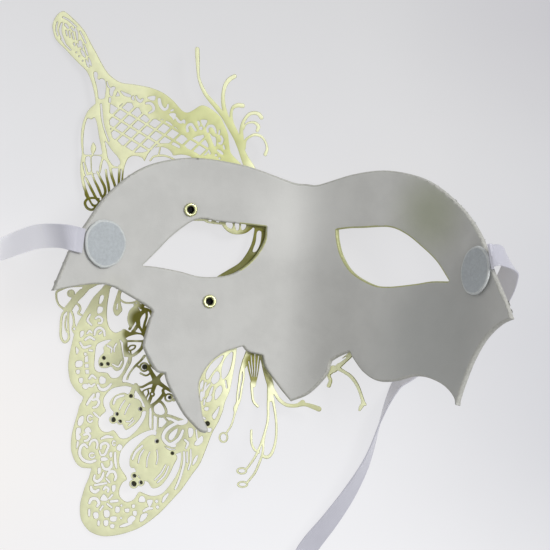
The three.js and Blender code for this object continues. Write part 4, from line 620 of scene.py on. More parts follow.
    ["P-",1,[[-72.38,-38.3],[-70.96,-38.07],[-71.11,-39.77],[-72.16,-39.7]]],
    ["P-",1,[[-71.11,-40.66],[-69.84,-40.21],[-68.72,-41.16],[-69.7,-42.13],[-70.81,-41.76]]],
    ["P-",1,[[-64.54,-37.66],[-62.68,-37.58],[-62.61,-39.79],[-64.62,-39.95]]],
    ["P-",1,[[-66.04,-43.81],[-64.7,-43.5],[-64.85,-45.28],[-65.89,-45.95]]],
    ["L-",1,[[-68.18,-14.62,0.58],[-69.15,-16.77,0.87],[-67.66,-18.43,0.58]]],
    ["L-",1,[[-66.13,-16.02,0.73],[-64.97,-15.36,0.8],[-63.7,-16.31,0.8],[-64.08,-17.64,0.73],[-65.12,-17.72,0.58]]],
    ["L-",1,[[-69.3,-21.57,0.58],[-68.4,-20.68,0.73],[-67.58,-21.27,0.58]]],
    ["L-",1,[[-66.58,-22.01,0.73],[-66.13,-20.31,0.87],[-64.6,-19.49,0.87],[-63.11,-20.48,0.87],[-62.81,-22.29,0.73]]],
    ["L-",1,[[-64.83,-21.71,0.51],[-64.01,-21.11,0.58]]],
    ["L-",1,[[-70.05,-23.94,0.73],[-68.41,-22.94,0.87],[-66.62,-23.86,0.73]]],
    ["L-",1,[[-71.92,-24.98,0.66],[-70.57,-26.75,0.87],[-68.04,-26.08,0.66]]],
    ["L-",1,[[-68.49,-27.78,0.66],[-67.44,-27.92,0.66]]],
    ["P-",0,[[-70.2,-30.3],[-69.08,-29.78],[-68.94,-31.99],[-70.21,-32.15]]],
    ["P-",0,[[-70.21,-32.96],[-68.86,-32.88],[-68.79,-34.14],[-70.06,-34.22]]],
    ["P-",0,[[-70.06,-35.1],[-68.72,-34.95],[-68.64,-36.43],[-69.84,-36.36]]],
    ["L-",1,[[-68.57,-38.28,0.73],[-67.45,-37.16,0.87],[-66.15,-38.11,0.73]]],
    ["L-",1,[[-68.8,-40.35,0.66],[-67.87,-41.16,0.8],[-66.63,-40.33,0.66]]],
    ["L-",1,[[-65.29,-40.77,0.87],[-64.4,-42.1,1.02],[-62.91,-42.31,1.09],[-61.49,-41.41,0.95],[-60.41,-40.22,0.66]]],
    ["L-",1,[[-66.86,-44.18,0.87],[-68.21,-45.96,1.09],[-69.4,-47.82,0.8]]],
    ["L-",1,[[-67.24,-46.18,0.73],[-65.75,-45.8,0.95],[-64.93,-46.9,0.95],[-65.75,-48.54,0.8],[-67.09,-48.99,0.66]]],
    ["P-",1,[[-61.03,-23.91],[-63.49,-24.51],[-65.72,-25.85],[-66.32,-29.17],[-66.63,-33.83],[-65.58,-35.56],[-63.54,-35.85],[-61.71,-36.17],[-60.41,-37.75],[-58.73,-37.96],[-57.25,-37.14],[-55.83,-35.03],[-54.64,-32.22],[-53.97,-30.01],[-54.86,-27.65],[-55.67,-25.44],[-56.94,-24.04]]],
    ["P+",1,[[-59.02,-22.87],[-61.22,-24.8],[-63.12,-26.46],[-63.12,-28.61],[-64.46,-30.05],[-65.13,-32.12],[-64.46,-33.97],[-62.38,-34.33],[-60.4,-33.73],[-59.22,-34.98],[-58.06,-35.34],[-56.57,-34.45],[-55.6,-31.86],[-56.16,-28.91],[-56.86,-25.11],[-57.9,-23.23]]],
    ["L-",1,[[-61.85,-26.05,0.51],[-60.21,-27.08,0.58],[-60.36,-28.48,0.44]]],
    ["L-",1,[[-58.43,-25.45,0.58],[-59.17,-26.78,0.58],[-59.25,-28.26,0.44]]],
    ["L-",1,[[-59.85,-32.91,0.44],[-57.76,-33.79,0.51],[-56.42,-31.86,0.44]]],
    ["L+",1,[[-66.48,-36.05,0.73],[-63.87,-36.85,0.8],[-61.64,-38.02,0.87],[-59.41,-39.11,0.95],[-56.43,-38.58,0.87],[-54.72,-35.76,0.73],[-53.6,-31.33,0.8]]],
    ["P-",1,[[-53.81,-22.71],[-48.62,-22.47],[-47.51,-29.83],[-44.92,-34.61],[-40.85,-36.43],[-38.26,-42.31],[-34.94,-48.91],[-31.98,-53.67],[-34.94,-55.17],[-38.64,-53.36],[-40.86,-55.22],[-43.08,-57.08],[-46.05,-56.36],[-46.27,-51.94],[-46.34,-48.25],[-48.63,-43.84],[-51.08,-40.91],[-54.2,-39.6],[-56.21,-38.95],[-54.34,-33.55],[-53.37,-29.86],[-54.34,-27.28],[-55.82,-25.07]]],
    ["L+",1,[[-55.12,-24.33,1.6],[-55.08,-26.91,1.6],[-55.01,-29.49,1.31]]],
    ["L+",1,[[-56.04,-24.41,0.73],[-52.33,-24.32,0.73],[-48.25,-24.38,0.8]]],
    ["L+",1,[[-48.4,-24.31,1.09],[-48.62,-25.78,1.24],[-49.36,-27.26,1.17],[-50.92,-28.74,1.17],[-52.71,-29.78,0.95],[-54.56,-29.71,0.87]]],
    ["L+",2,[[-54.08,-27.17,0.58],[-53.07,-26.02,0.58],[-51.44,-26.01,0.58],[-51.81,-27.09,0.58],[-53.37,-27.79,0.58]]],
    ["L+",1,[[-53.22,-27.79,0.58],[-53.08,-29.86,0.8],[-53.3,-32.07,0.8],[-54.49,-34.29,0.73],[-55.42,-36.14,0.58],[-56.8,-37.99,0.66]]],
    ["L+",1,[[-48.03,-29.83,0.95],[-49.37,-31.53,0.8],[-51.11,-33.17,0.8],[-52.71,-35.02,0.66],[-53.9,-36.87,0.66],[-54.42,-38.35,0.73]]],
    ["L+",1,[[-51.11,-33.17,0.73],[-49.74,-34.04,0.87],[-48.11,-33.89,1.46]]],
    ["D+",0,[[-48.11,-33.89,3.64]]],
    ["L+",1,[[-49.52,-36.18,0.66],[-47.63,-37.02,0.66],[-46.29,-36.5,0.66],[-45.66,-35.35,0.8]]],
    ["L+",1,[[-46.77,-34.47,0.95],[-45.59,-35.42,1.09]]],
    ["D+",0,[[-43.66,-39.02,3.21]]],
    ["L+",1,[[-43.66,-39.02,2.19],[-44.92,-36.82,1.6],[-45.96,-34.76,1.24],[-46.4,-33.51,1.09]]],
    ["L+",1,[[-43.66,-39.02,1.82],[-42.4,-37.17,1.31],[-40.99,-35.91,1.09]]],
    ["L+",1,[[-43.66,-39.02,1.82],[-41.74,-40.34,1.46],[-39.52,-41.87,1.17],[-37.52,-43.04,1.09]]],
    ["L+",1,[[-43.74,-39.02,1.82],[-44.63,-41.61,1.46],[-45.15,-43.67,1.24],[-45.96,-45.82,1.17],[-46.78,-47.89,1.24]]],
    ["L+",1,[[-43.66,-39.02,1.68],[-46.29,-39.89,0.95],[-49.0,-41.27,0.87],[-50.86,-40.91,0.8]]],
    ["D+",0,[[-45.15,-43.9,2.04]]],
    ["L+",1,[[-40.4,-41.66,1.09],[-41.22,-42.47,0.95],[-41.0,-43.72,1.17],[-42.33,-45.65,1.24],[-44.33,-47.43,1.17],[-46.41,-48.62,1.17]]],
    ["L+",1,[[-41.07,-43.57,0.95],[-39.04,-45.11,1.17],[-37.15,-45.98,1.09]]],
    ["D+",0,[[-39.04,-45.11,3.35]]],
    ["L+",1,[[-46.56,-47.52,0.58],[-47.56,-45.53,0.58],[-48.63,-43.03,0.55],[-46.78,-41.92,0.55],[-45.29,-41.61,0.58]]],
    ["L+",1,[[-46.7,-42.36,0.55],[-46.56,-43.61,0.55],[-47.56,-45.53,0.55]]],
    ["L+",2,[[-44.93,-48.5,0.87],[-44.82,-50.49,0.8],[-43.38,-51.77,0.87],[-40.93,-51.86,1.02],[-39.97,-50.27,0.95],[-41.0,-47.7,0.87],[-42.33,-46.53,0.95],[-43.82,-46.91,0.95]]],
    ["L+",1,[[-41.0,-51.75,1.09],[-38.64,-51.88,1.02],[-35.68,-52.96,1.09],[-33.46,-53.68,1.09]]],
    ["L+",1,[[-45.0,-50.82,0.62],[-45.01,-53.77,0.58],[-45.08,-56.72,0.66]]],
    ["L+",1,[[-43.04,-51.55,0.62],[-43.04,-54.13,0.58],[-43.23,-57.08,0.66]]],
    ["L+",1,[[-41.0,-51.9,0.73],[-39.75,-53.36,0.73],[-38.27,-54.83,0.87]]],
    ["P-",1,[[-57.17,-41.2],[-59.82,-41.88],[-61.83,-43.56],[-63.17,-45.71],[-63.18,-48.0],[-62.4,-50.21],[-64.0,-51.81],[-65.08,-53.63],[-64.94,-55.92],[-63.52,-57.65],[-61.51,-57.89],[-59.65,-57.21],[-58.31,-58.46],[-57.2,-60.0],[-55.19,-60.24],[-53.22,-59.3],[-51.54,-57.81],[-49.91,-55.8],[-48.38,-53.5],[-47.64,-51.51],[-47.64,-49.0],[-49.38,-45.18],[-51.86,-41.98],[-54.57,-41.0]]],
    ["P+",1,[[-54.02,-44.1],[-55.84,-43.41],[-58.52,-44.24],[-60.27,-45.84],[-60.94,-47.32],[-60.61,-49.05],[-59.49,-50.41],[-57.93,-52.4],[-56.19,-55.04],[-55.11,-57.03],[-53.88,-56.68],[-51.87,-55.3],[-50.2,-53.52],[-49.16,-51.52],[-48.9,-48.12],[-49.9,-46.06],[-51.86,-45.3]]],
    ["D+",0,[[-52.98,-44.61,2.48]]],
    ["D+",0,[[-49.53,-49.38,2.48]]],
    ["D+",0,[[-58.26,-51.25,2.62]]],
    ["D+",0,[[-59.61,-53.33,3.06]]],
    ["D+",0,[[-57.11,-53.98,2.48]]],
    ["L+",1,[[-52.98,-44.61,1.68],[-52.12,-42.17,1.53],[-51.23,-40.54,1.46]]],
    ["L+",1,[[-49.53,-49.38,1.53],[-47.01,-49.36,1.31]]],
    ["L+",1,[[-59.61,-53.33,1.46],[-58.27,-52.03,1.46],[-57.19,-53.87,1.46]]],
    ["L+",1,[[-51.23,-40.91,1.09],[-48.49,-44.58,1.09],[-47.08,-47.52,1.09],[-46.86,-49.58,1.17],[-47.01,-51.94,1.17],[-48.23,-54.5,1.17],[-49.83,-56.87,1.17],[-52.06,-59.14,1.17],[-54.59,-61.09,1.09]]],
    ["L-",1,[[-59.49,-47.46,0.73],[-58.82,-45.75,0.87],[-57.55,-44.86,0.87],[-55.77,-44.41,0.66]]],
    ["L-",1,[[-55.36,-46.29,0.4],[-56.51,-47.95,0.44],[-57.33,-49.62,0.36]]],
    ["L-",1,[[-54.85,-54.0,0.36],[-53.47,-53.99,0.44],[-52.35,-52.72,0.36]]],
    ["L-",1,[[-53.88,-55.5,0.36],[-51.87,-53.61,0.36]]],
    ["L-",1,[[-53.46,-47.56,0.36],[-54.58,-49.42,0.4],[-55.33,-51.27,0.36]]],
    ["P-",1,[[-72.25,-52.73],[-70.75,-52.12],[-70.83,-54.34],[-71.95,-55.76],[-72.92,-55.1]]],
    ["L-",1,[[-66.87,-50.84,0.58],[-65.98,-51.72,0.87],[-64.86,-52.67,0.58]]],
    ["L-",1,[[-67.45,-53.81,0.58],[-67.93,-54.28,0.58],[-68.52,-54.31,0.58],[-69.02,-53.89,0.58],[-69.22,-53.16,0.58],[-69.06,-52.42,0.58],[-68.6,-51.93,0.58],[-68.0,-51.89,0.58],[-67.5,-52.3,0.58]]],
    ["L-",1,[[-58.9,-62.47,0.47],[-59.17,-62.78,0.47],[-59.51,-62.8,0.47],[-59.8,-62.52,0.47],[-59.91,-62.05,0.47],[-59.82,-61.57,0.47],[-59.55,-61.26,0.47],[-59.21,-61.23,0.47],[-58.92,-61.5,0.47]]],
    ["P-",1,[[-73.38,-56.95],[-71.88,-56.57],[-71.66,-58.2],[-72.33,-58.8],[-71.74,-59.76],[-72.26,-60.87],[-73.46,-60.66]]],
    ["P-",1,[[-70.28,-57.97],[-69.86,-56.7],[-68.74,-56.25],[-67.92,-57.28],[-68.0,-58.09]]],
    ["L-",1,[[-70.54,-59.08,0.73],[-69.12,-58.62,0.95],[-68.3,-59.65,0.87],[-69.12,-60.99,0.8],[-70.39,-61.3,0.58]]],
    ["P-",1,[[-73.16,-61.62],[-72.49,-61.69],[-72.71,-63.24],[-73.39,-64.07]]],
    ["L-",1,[[-69.35,-63.66,0.8],[-70.4,-62.63,0.95],[-71.82,-63.75,1.02],[-72.12,-66.28,1.09],[-70.78,-68.34,1.09],[-68.39,-69.13,1.02],[-66.3,-68.51,0.8]]],
    ["L-",1,[[-66.53,-66.89,0.51],[-66.91,-67.35,0.51],[-67.53,-67.53,0.51],[-68.15,-67.36,0.51],[-68.53,-66.9,0.51],[-68.51,-66.35,0.51],[-68.1,-65.91,0.51],[-67.47,-65.75,0.51],[-66.86,-65.95,0.51]]],
    ["L-",1,[[-68.53,-62.84,0.66],[-67.78,-61.35,0.8],[-66.29,-60.97,0.87],[-65.54,-62.22,0.8],[-65.77,-63.92,0.66]]],
    ["L-",1,[[-64.16,-60.5,0.51],[-62.04,-59.67,1.09],[-59.84,-59.87,0.51]]],
    ["L-",1,[[-64.28,-64.13,0.66],[-64.13,-62.72,0.87],[-62.56,-62.04,0.87],[-61.37,-62.92,0.87],[-61.97,-64.48,0.87],[-62.68,-66.11,0.8],[-64.09,-66.5,0.66],[-64.8,-64.95,0.58]]],
    ["P-",1,[[-57.42,-62.44],[-56.23,-63.24],[-57.13,-64.88],[-58.47,-64.0]]],
    ["P-",1,[[-61.07,-65.73],[-60.11,-65.42],[-60.11,-67.05],[-60.85,-67.28]]],
    ["L-",1,[[-58.91,-65.63,0.73],[-58.92,-68.29,0.95],[-58.47,-71.1,0.66]]],
    ["P-",1,[[-64.28,-67.61],[-62.79,-67.22],[-61.56,-67.95],[-62.79,-68.63],[-64.13,-68.57]]],
    ["L-",1,[[-63.88,-69.75,0.8],[-63.21,-71.33,1.02],[-61.6,-71.72,1.02],[-60.34,-70.45,1.02],[-60.41,-68.9,0.73]]],
    ["P-",1,[[-65.41,-71.47],[-64.29,-71.31],[-64.36,-72.94],[-65.34,-73.39]]],
    ["L-",1,[[-66.53,-74.07,0.73],[-66.79,-75.52,0.95],[-65.53,-76.24,1.02],[-63.96,-75.01,0.95],[-63.28,-73.07,0.73]]],
    ["L-",1,[[-62.06,-74.24,0.73],[-61.08,-72.75,0.95],[-59.37,-72.63,1.02],[-58.63,-74.36,0.95],[-59.08,-75.69,0.73]]],
    ["L-",1,[[-62.21,-75.21,0.66],[-61.05,-76.53,0.66]]],
    ["L-",1,[[-66.54,-77.62,0.66],[-64.18,-77.23,0.73],[-62.21,-76.84,0.66]]],
    ["L-",1,[[-67.96,-78.31,0.87],[-67.66,-79.49,1.17],[-66.39,-80.14,1.17],[-65.12,-79.35,0.87]]],
    ["L-",1,[[-63.22,-79.22,0.73],[-62.47,-78.32,0.87],[-61.47,-78.94,0.87],[-61.62,-80.01,0.73]]],
    ["P-",1,[[-60.2,-77.92],[-58.86,-77.61],[-58.93,-79.39],[-59.9,-79.99]]],
    ["P-",1,[[-63.18,-80.99],[-61.7,-83.12],[-64.46,-83.16]]],
    ["L-",1,[[-61.21,-82.56,0.66],[-60.05,-81.25,0.73]]],
    ["L-",1,[[-60.58,-83.63,0.87],[-58.12,-83.34,0.87]]],
    ["L-",1,[[-68.56,-84.32,0.87],[-67.81,-82.83,1.09],[-66.02,-82.69,1.09],[-65.02,-84.2,1.09],[-65.65,-85.47,0.8]]],
    ["L-",1,[[-63.56,-85.37,0.66],[-64.54,-86.79,0.66]]],
    ["L-",1,[[-61.88,-84.53,0.66],[-60.28,-85.77,0.73]]],
    ["P-",1,[[-58.72,-85.6],[-57.3,-85.81],[-57.46,-87.44],[-58.8,-87.53]]],
    ["D-",0,[[-56.63,-85.06,0.95]]],
    ["P-",1,[[-68.98,-86.69],[-68.23,-86.76],[-68.31,-88.98],[-68.98,-89.07]]],
    ["P-",1,[[-67.08,-88.0],[-65.43,-87.84],[-65.29,-89.69],[-66.71,-89.93]]],
    ["P-",1,[[-63.12,-87.14],[-61.25,-87.04],[-61.18,-89.19],[-62.82,-89.43]]],
    ["P-",1,[[-65.44,-90.8],[-64.69,-90.94],[-64.84,-92.57],[-65.59,-92.43]]],
    ["P-",1,[[-63.2,-90.84],[-61.63,-90.68],[-61.71,-92.38],[-62.98,-92.55]]],
    ["P-",1,[[-60.74,-89.41],[-58.5,-89.23],[-58.8,-90.86],[-60.59,-90.88]]],
    ["P-",1,[[-60.74,-92.22],[-59.33,-92.13],[-59.48,-93.39],[-60.67,-93.4]]],
    ["D-",0,[[-56.75,-89.72,0.95]]],
    ["L-",1,[[-57.02,-92.84,0.58],[-55.01,-92.22,1.09],[-52.92,-91.52,0.58]]],
    ["P-",1,[[-54.33,-90.06],[-52.77,-88.79],[-51.36,-89.65],[-52.77,-91.3],[-54.04,-91.39]]],
    ["P-",1,[[-55.37,-86.38],[-53.73,-86.21],[-53.96,-87.47],[-55.15,-87.41]]],
    ["P-",1,[[-52.69,-84.86],[-51.65,-84.7],[-51.8,-85.81],[-52.62,-85.82]]],
    ["P-",1,[[-52.32,-87.23],[-51.06,-87.06],[-51.06,-88.69],[-52.17,-88.56]]],
    ["P-",1,[[-49.8,-90.6],[-49.05,-88.29],[-46.97,-87.9],[-47.57,-89.61],[-49.06,-90.88]]],
    ["P-",1,[[-50.16,-83.5],[-49.79,-81.87],[-48.67,-81.49],[-47.78,-82.59],[-48.08,-83.63]]],
    ["P-",1,[[-47.12,-83.1],[-45.04,-83.0],[-45.71,-85.0],[-46.45,-85.31]]],
    ["L-",1,[[-48.38,-87.03,0.73],[-46.82,-86.12,0.95],[-45.23,-85.95,0.73]]],
    ["D-",0,[[-43.55,-83.35,1.31]]],
    ["D-",0,[[-43.22,-85.49,1.31]]],
    ["L-",1,[[-39.33,-80.57,0.58],[-40.59,-82.13,1.17],[-41.26,-83.54,0.58]]],
    ["P-",1,[[-44.6,-57.01],[-48.24,-58.0],[-51.54,-59.8],[-53.85,-61.45],[-55.86,-63.68],[-57.2,-66.28],[-57.21,-70.5],[-54.57,-74.98],[-56.21,-76.73],[-57.37,-79.19],[-57.22,-81.7],[-55.4,-83.42],[-53.73,-83.55],[-51.91,-82.53],[-50.19,-79.96],[-48.52,-80.34],[-46.07,-81.24],[-43.55,-81.21],[-41.25,-80.18],[-38.92,-77.57],[-37.25,-75.2],[-35.95,-72.86],[-34.88,-69.9],[-34.54,-65.48],[-36.43,-64.17],[-39.39,-63.68],[-42.12,-61.49],[-43.31,-58.55]]],
    ["P+",1,[[-49.91,-62.08],[-46.57,-59.32],[-44.2,-59.0],[-41.98,-61.12],[-39.76,-63.9],[-37.54,-64.91],[-35.95,-67.07],[-37.24,-69.92],[-38.58,-72.89],[-40.25,-75.56],[-42.21,-77.72],[-44.36,-78.56],[-45.55,-78.09],[-46.85,-76.15],[-49.04,-75.4],[-50.89,-72.83],[-51.74,-71.18],[-53.04,-70.97],[-53.56,-69.24],[-52.89,-65.95]]],
    ["D+",0,[[-43.46,-61.13,2.77]]],
    ["D+",0,[[-37.68,-65.54,2.62]]],
    ["D+",0,[[-51.78,-74.02,2.62]]],
    ["D+",0,[[-52.01,-77.02,3.35]]],
    ["D+",0,[[-49.45,-76.47,2.77]]],
    ["L+",1,[[-51.78,-74.02,1.6],[-50.52,-73.01,1.6]]],
    ["L+",1,[[-49.45,-76.47,1.6],[-48.66,-74.84,1.6]]],
    ["L+",1,[[-52.01,-77.02,1.68],[-50.52,-75.23,1.6]]],
    ["L+",1,[[-43.46,-61.13,1.82],[-42.86,-58.55,1.46],[-42.34,-56.7,1.46]]],
    ["L+",1,[[-37.68,-65.54,1.6],[-35.32,-64.6,1.46],[-33.47,-63.99,1.46]]],
    ["L-",1,[[-48.84,-62.92,0.66],[-51.25,-65.26,0.87],[-52.48,-67.86,0.66]]],
    ["L-",1,[[-48.36,-64.39,0.47],[-49.69,-66.51,0.55],[-50.33,-69.21,0.4]]],
    ["L-",1,[[-40.24,-69.95,0.36],[-41.88,-72.92,0.47],[-44.21,-75.42,0.4]]],
    ["L-",1,[[-39.09,-70.42,0.4],[-40.58,-73.76,0.55],[-43.21,-76.41,0.4]]],
    ["L-",1,[[-46.06,-65.22,0.36],[-47.02,-67.81,0.44],[-47.18,-70.76,0.36]]],
    ["L-",1,[[-43.46,-64.45,0.36],[-43.09,-67.03,0.4],[-43.61,-69.62,0.36]]],
    ["L-",1,[[-33.53,-53.54,0.58],[-35.6,-54.22,0.95],[-38.56,-55.82,1.09],[-40.42,-57.64,1.17],[-41.09,-60.01,1.17],[-39.16,-62.28,1.17],[-36.94,-61.67,1.17],[-34.94,-59.77,1.09],[-33.83,-57.22,0.87]]],
    ["P-",1,[[-35.98,-56.43],[-38.27,-58.14],[-39.09,-59.7],[-38.64,-60.72],[-37.46,-60.31],[-36.5,-58.79],[-35.83,-57.24]]],
    ["P-",1,[[-38.35,-62.56],[-36.42,-62.4],[-36.65,-63.21],[-38.2,-63.3]]],
    ["P-",1,[[-31.62,-56.25],[-30.06,-56.6],[-30.21,-58.81],[-31.4,-59.7],[-31.84,-57.72]]],
    ["L-",1,[[-33.1,-60.56,0.66],[-31.95,-61.77,0.87],[-32.62,-63.62,0.66]]],
    ["L-",1,[[-28.88,-56.96,0.51],[-28.52,-60.05,0.51]]],
    ["P-",1,[[-28.66,-60.64],[-26.67,-59.15],[-26.45,-60.98],[-27.93,-62.47],[-29.55,-62.34]]],
    ["L-",1,[[-33.39,-65.1,0.66],[-33.32,-68.41,0.8],[-33.95,-71.55,0.8],[-35.29,-75.8,0.8],[-36.62,-78.62,0.66]]],
    ["L-",1,[[-32.29,-65.09,0.47],[-32.21,-68.77,0.51]]],
    ["L-",1,[[-30.92,-64.12,0.47],[-30.92,-68.39,0.55],[-31.85,-71.49,0.47]]],
    ["L-",1,[[-28.52,-66.45,0.51],[-29.26,-68.0,1.09],[-30.07,-69.56,0.51]]],
    ["L-",1,[[-25.34,-39.65,0.58],[-25.93,-42.49,0.73],[-26.11,-44.44,0.58]]],
    ["P-",1,[[-23.64,-39.65],[-24.6,-41.27],[-25.56,-42.6],[-24.97,-40.76]]],
    ["P-",1,[[-19.93,-40.6],[-19.45,-42.32],[-20.26,-44.12],[-21.77,-45.73],[-22.1,-44.27],[-21.51,-41.88]]],
    ["P-",1,[[-25.26,-46.49],[-24.45,-44.43],[-23.2,-44.49],[-23.64,-46.26]]],
    ["P-",1,[[-25.86,-48.7],[-24.38,-48.54],[-24.53,-49.64],[-25.71,-49.65]]],
    ["P-",1,[[-20.4,-48.19],[-21.84,-50.03],[-22.98,-51.76],[-22.17,-52.9],[-20.92,-50.65]]],
    ["P-",1,[[-24.97,-56.41],[-23.28,-56.25],[-23.57,-57.5],[-24.83,-57.51]]],
    ["L-",1,[[-18.21,-38.77,0.44],[-17.77,-41.41,0.44]]],
    ["L-",1,[[-26.37,-52.23,0.58],[-25.64,-52.81,0.58]]],
    ["D+",0,[[-24.72,-54.54,2.77]]],
    ["P-",1,[[-25.33,-36.35],[-23.87,-33.41],[-21.67,-31.07],[-19.1,-29.53],[-20.2,-32.32],[-22.62,-35.24],[-24.82,-38.4]]],
    ["P-",1,[[-18.88,-31.95],[-17.27,-29.4],[-15.66,-28.53],[-16.17,-32.7],[-17.41,-36.36],[-19.24,-38.18],[-19.61,-34.88]]],
    ["P-",1,[[-23.35,-38.33],[-21.51,-35.47],[-20.41,-36.35],[-20.7,-38.69],[-22.54,-40.01]]],
    ["P-",1,[[-27.4,-40.03],[-26.29,-38.56],[-26.37,-40.76],[-27.33,-42.24]]],
    ["P-",1,[[-27.4,-43.34],[-26.59,-42.82],[-26.52,-45.54],[-27.25,-46.13]]],
    ["P-",1,[[-26.07,-46.05],[-25.56,-45.31],[-25.71,-47.52],[-26.22,-47.75]]],
    ["P-",1,[[-23.35,-41.48],[-22.61,-40.97],[-23.27,-43.68],[-24.23,-44.06]]],
    ["P+",0,[[-17.3,-4.79],[-10.69,-4.79],[-9.22,-9.22],[-9.95,-20.27],[-11.41,-26.14],[-16.54,-26.1]]],
    ["P+",0,[[-14.37,31.31],[-4.79,31.35],[-4.8,15.87],[-9.22,18.07],[-12.9,25.79]]],
    ["L+",1,[[-8.48,-25.8,3.28],[-8.18,-28.74,5.28],[-8.1,-32.79,4.59],[-7.95,-36.82,3.06],[-7.95,-40.85,1.24]]],
    ["L-",1,[[-10.5,-27.99,0.18],[-9.41,-33.87,0.36],[-8.75,-37.4,0.13]]],
    ["L-",1,[[-9.06,-28.37,0.18],[-8.51,-34.07,0.36],[-8.17,-37.48,0.13]]],
    ["L-",1,[[-7.52,-28.38,0.18],[-7.55,-34.08,0.36],[-7.57,-37.49,0.13]]],
    ["L-",1,[[-6.05,-28.76,0.18],[-6.6,-34.27,0.36],[-6.92,-37.57,0.13]]],
    ["L+",1,[[-4.8,-28.4,2.19],[-3.32,-34.3,2.19],[-1.84,-40.19,2.41],[-1.77,-43.12,2.41],[-1.84,-45.68,2.19]]],
    ["L-",1,[[-4.72,-33.04,0.44],[-4.35,-36.5,0.95],[-3.61,-40.17,0.8],[-3.24,-43.11,0.36]]],
    ["L+",1,[[-2.36,-45.67,1.09],[-2.58,-47.13,0.95],[-2.65,-52.96,0.87],[-3.56,-57.16,0.87],[-5.21,-62.19,0.87],[-7.07,-66.33,0.84],[-9.16,-69.49,0.8],[-10.56,-71.2,0.8]]],
    ["L+",2,[[-10.52,-71.78,0.66],[-10.74,-72.3,0.66],[-11.33,-72.68,0.66],[-12.14,-72.83,0.66],[-12.95,-72.7,0.66],[-13.54,-72.33,0.66],[-13.75,-71.82,0.66],[-13.54,-71.3,0.66],[-12.95,-70.92,0.66],[-12.14,-70.77,0.66],[-11.33,-70.9,0.66],[-10.74,-71.27,0.66]]],
    ["L+",1,[[-1.25,-44.95,1.17],[-0.77,-46.42,0.95],[0.18,-51.89,0.84],[0.51,-56.5,0.84],[0.18,-61.1,0.87],[-0.99,-64.98,1.02],[-2.38,-66.61,1.17],[-3.74,-66.68,1.09],[-4.76,-65.96,0.87]]],
    ["L+",1,[[-3.82,-58.38,0.8],[-4.26,-60.9,0.8],[-4.51,-65.23,0.84],[-5.2,-67.41,0.84],[-7.07,-71.97,0.84],[-8.8,-74.41,0.8],[-10.34,-76.26,0.8]]],
    ["L+",2,[[-10.16,-76.74,0.66],[-10.38,-77.22,0.66],[-11.0,-77.58,0.66],[-11.85,-77.71,0.66],[-12.69,-77.59,0.66],[-13.31,-77.25,0.66],[-13.54,-76.78,0.66],[-13.31,-76.3,0.66],[-12.69,-75.94,0.66],[-11.85,-75.8,0.66],[-11.0,-75.92,0.66],[-10.38,-76.26,0.66]]],
    ["L+",1,[[-8.69,-39.75,1.09],[-8.61,-42.31,0.87],[-8.09,-46.34,0.8],[-6.44,-48.37,0.87]]],
    ["L+",1,[[-8.73,-57.07,0.73],[-8.77,-59.06,0.8],[-8.62,-61.75,0.8],[-7.55,-64.0,0.87],[-5.94,-65.02,0.87]]],
    ["L+",1,[[-11.41,-31.28,1.24],[-12.72,-35.67,0.95],[-13.23,-39.32,0.84],[-13.88,-44.07,0.77],[-13.95,-46.63,0.8],[-14.54,-48.82,1.53],[-14.79,-50.83,0.73],[-15.92,-54.88,0.66],[-17.17,-57.01,0.69],[-17.9,-58.19,0.69]]],
    ["L+",2,[[-17.43,-59.58,0.62],[-17.62,-60.43,0.62],[-18.15,-61.05,0.62],[-18.86,-61.29,0.62],[-19.58,-61.07,0.62],[-20.11,-60.45,0.62],[-20.3,-59.61,0.62],[-20.1,-58.76,0.62],[-19.58,-58.14,0.62],[-18.86,-57.91,0.62],[-18.14,-58.13,0.62],[-17.62,-58.74,0.62]]],
    ["L+",1,[[-11.92,-33.48,0.95],[-11.62,-37.15,0.73],[-12.35,-41.53,0.73],[-13.07,-45.91,0.73],[-14.17,-48.45,0.87]]],
    ["L+",1,[[-8.48,-25.43,2.19],[-10.31,-29.83,2.19],[-11.55,-33.48,1.82]]],
    ["L+",1,[[-8.48,-23.96,2.92],[-4.79,-29.88,2.19],[-3.32,-35.77,2.04],[-1.84,-40.92,1.82],[-0.52,-42.76,1.31],[1.47,-45.92,1.24],[4.42,-47.96,1.24],[8.1,-48.09,1.31],[10.31,-46.9,1.68]]],
    ["L+",1,[[8.1,-48.09,1.09],[11.04,-47.69,1.24],[13.6,-48.3,1.6],[16.15,-49.19,1.9]]],
    ["L+",1,[[-2.59,4.8,2.92],[3.33,1.85,1.82],[10.72,-2.96,1.82],[17.33,-10.32,1.82],[23.13,-20.19,1.82],[28.16,-26.69,1.97],[27.79,-29.03,1.82],[25.26,-31.49,1.97],[23.09,-33.87,1.68],[21.64,-34.85,2.04]]],
    ["L-",1,[[25.99,-30.24,0.51],[23.82,-31.81,0.66],[21.94,-32.51,0.36]]],
    ["L+",1,[[23.09,-34.09,1.46],[25.25,-35.35,1.17],[27.51,-36.75,1.17],[29.19,-38.68,1.17],[30.41,-40.83,1.09],[31.48,-43.72,1.02],[32.16,-46.62,1.24],[31.4,-48.08,1.24],[30.89,-49.18,0.8]]],
    ["L+",1,[[32.05,-45.89,1.09],[32.92,-47.19,0.87]]],
    ["L+",1,[[21.5,-34.85,1.68],[19.97,-36.71,1.09],[20.55,-38.74,1.09],[19.89,-40.73,1.24]]],
    ["L+",1,[[21.65,-34.12,1.82],[19.83,-35.04,1.46],[18.96,-36.37,1.09]]],
    ["D-",0,[[-63.05,-30.6,1.38]]],
    ["D-",0,[[-63.98,-32.97,1.38]]],
    ["D-",0,[[-61.56,-32.81,1.38]]],
    ["D-",0,[[-48.11,-33.89,2.33]]],
    ["D-",0,[[-45.15,-43.82,0.8]]],
    ["D-",0,[[-52.98,-44.61,1.38]]],
    ["D-",0,[[-49.53,-49.38,1.53]]],
    ["D-",0,[[-58.26,-51.25,1.38]]],
    ["D-",0,[[-59.61,-53.33,1.9]]],
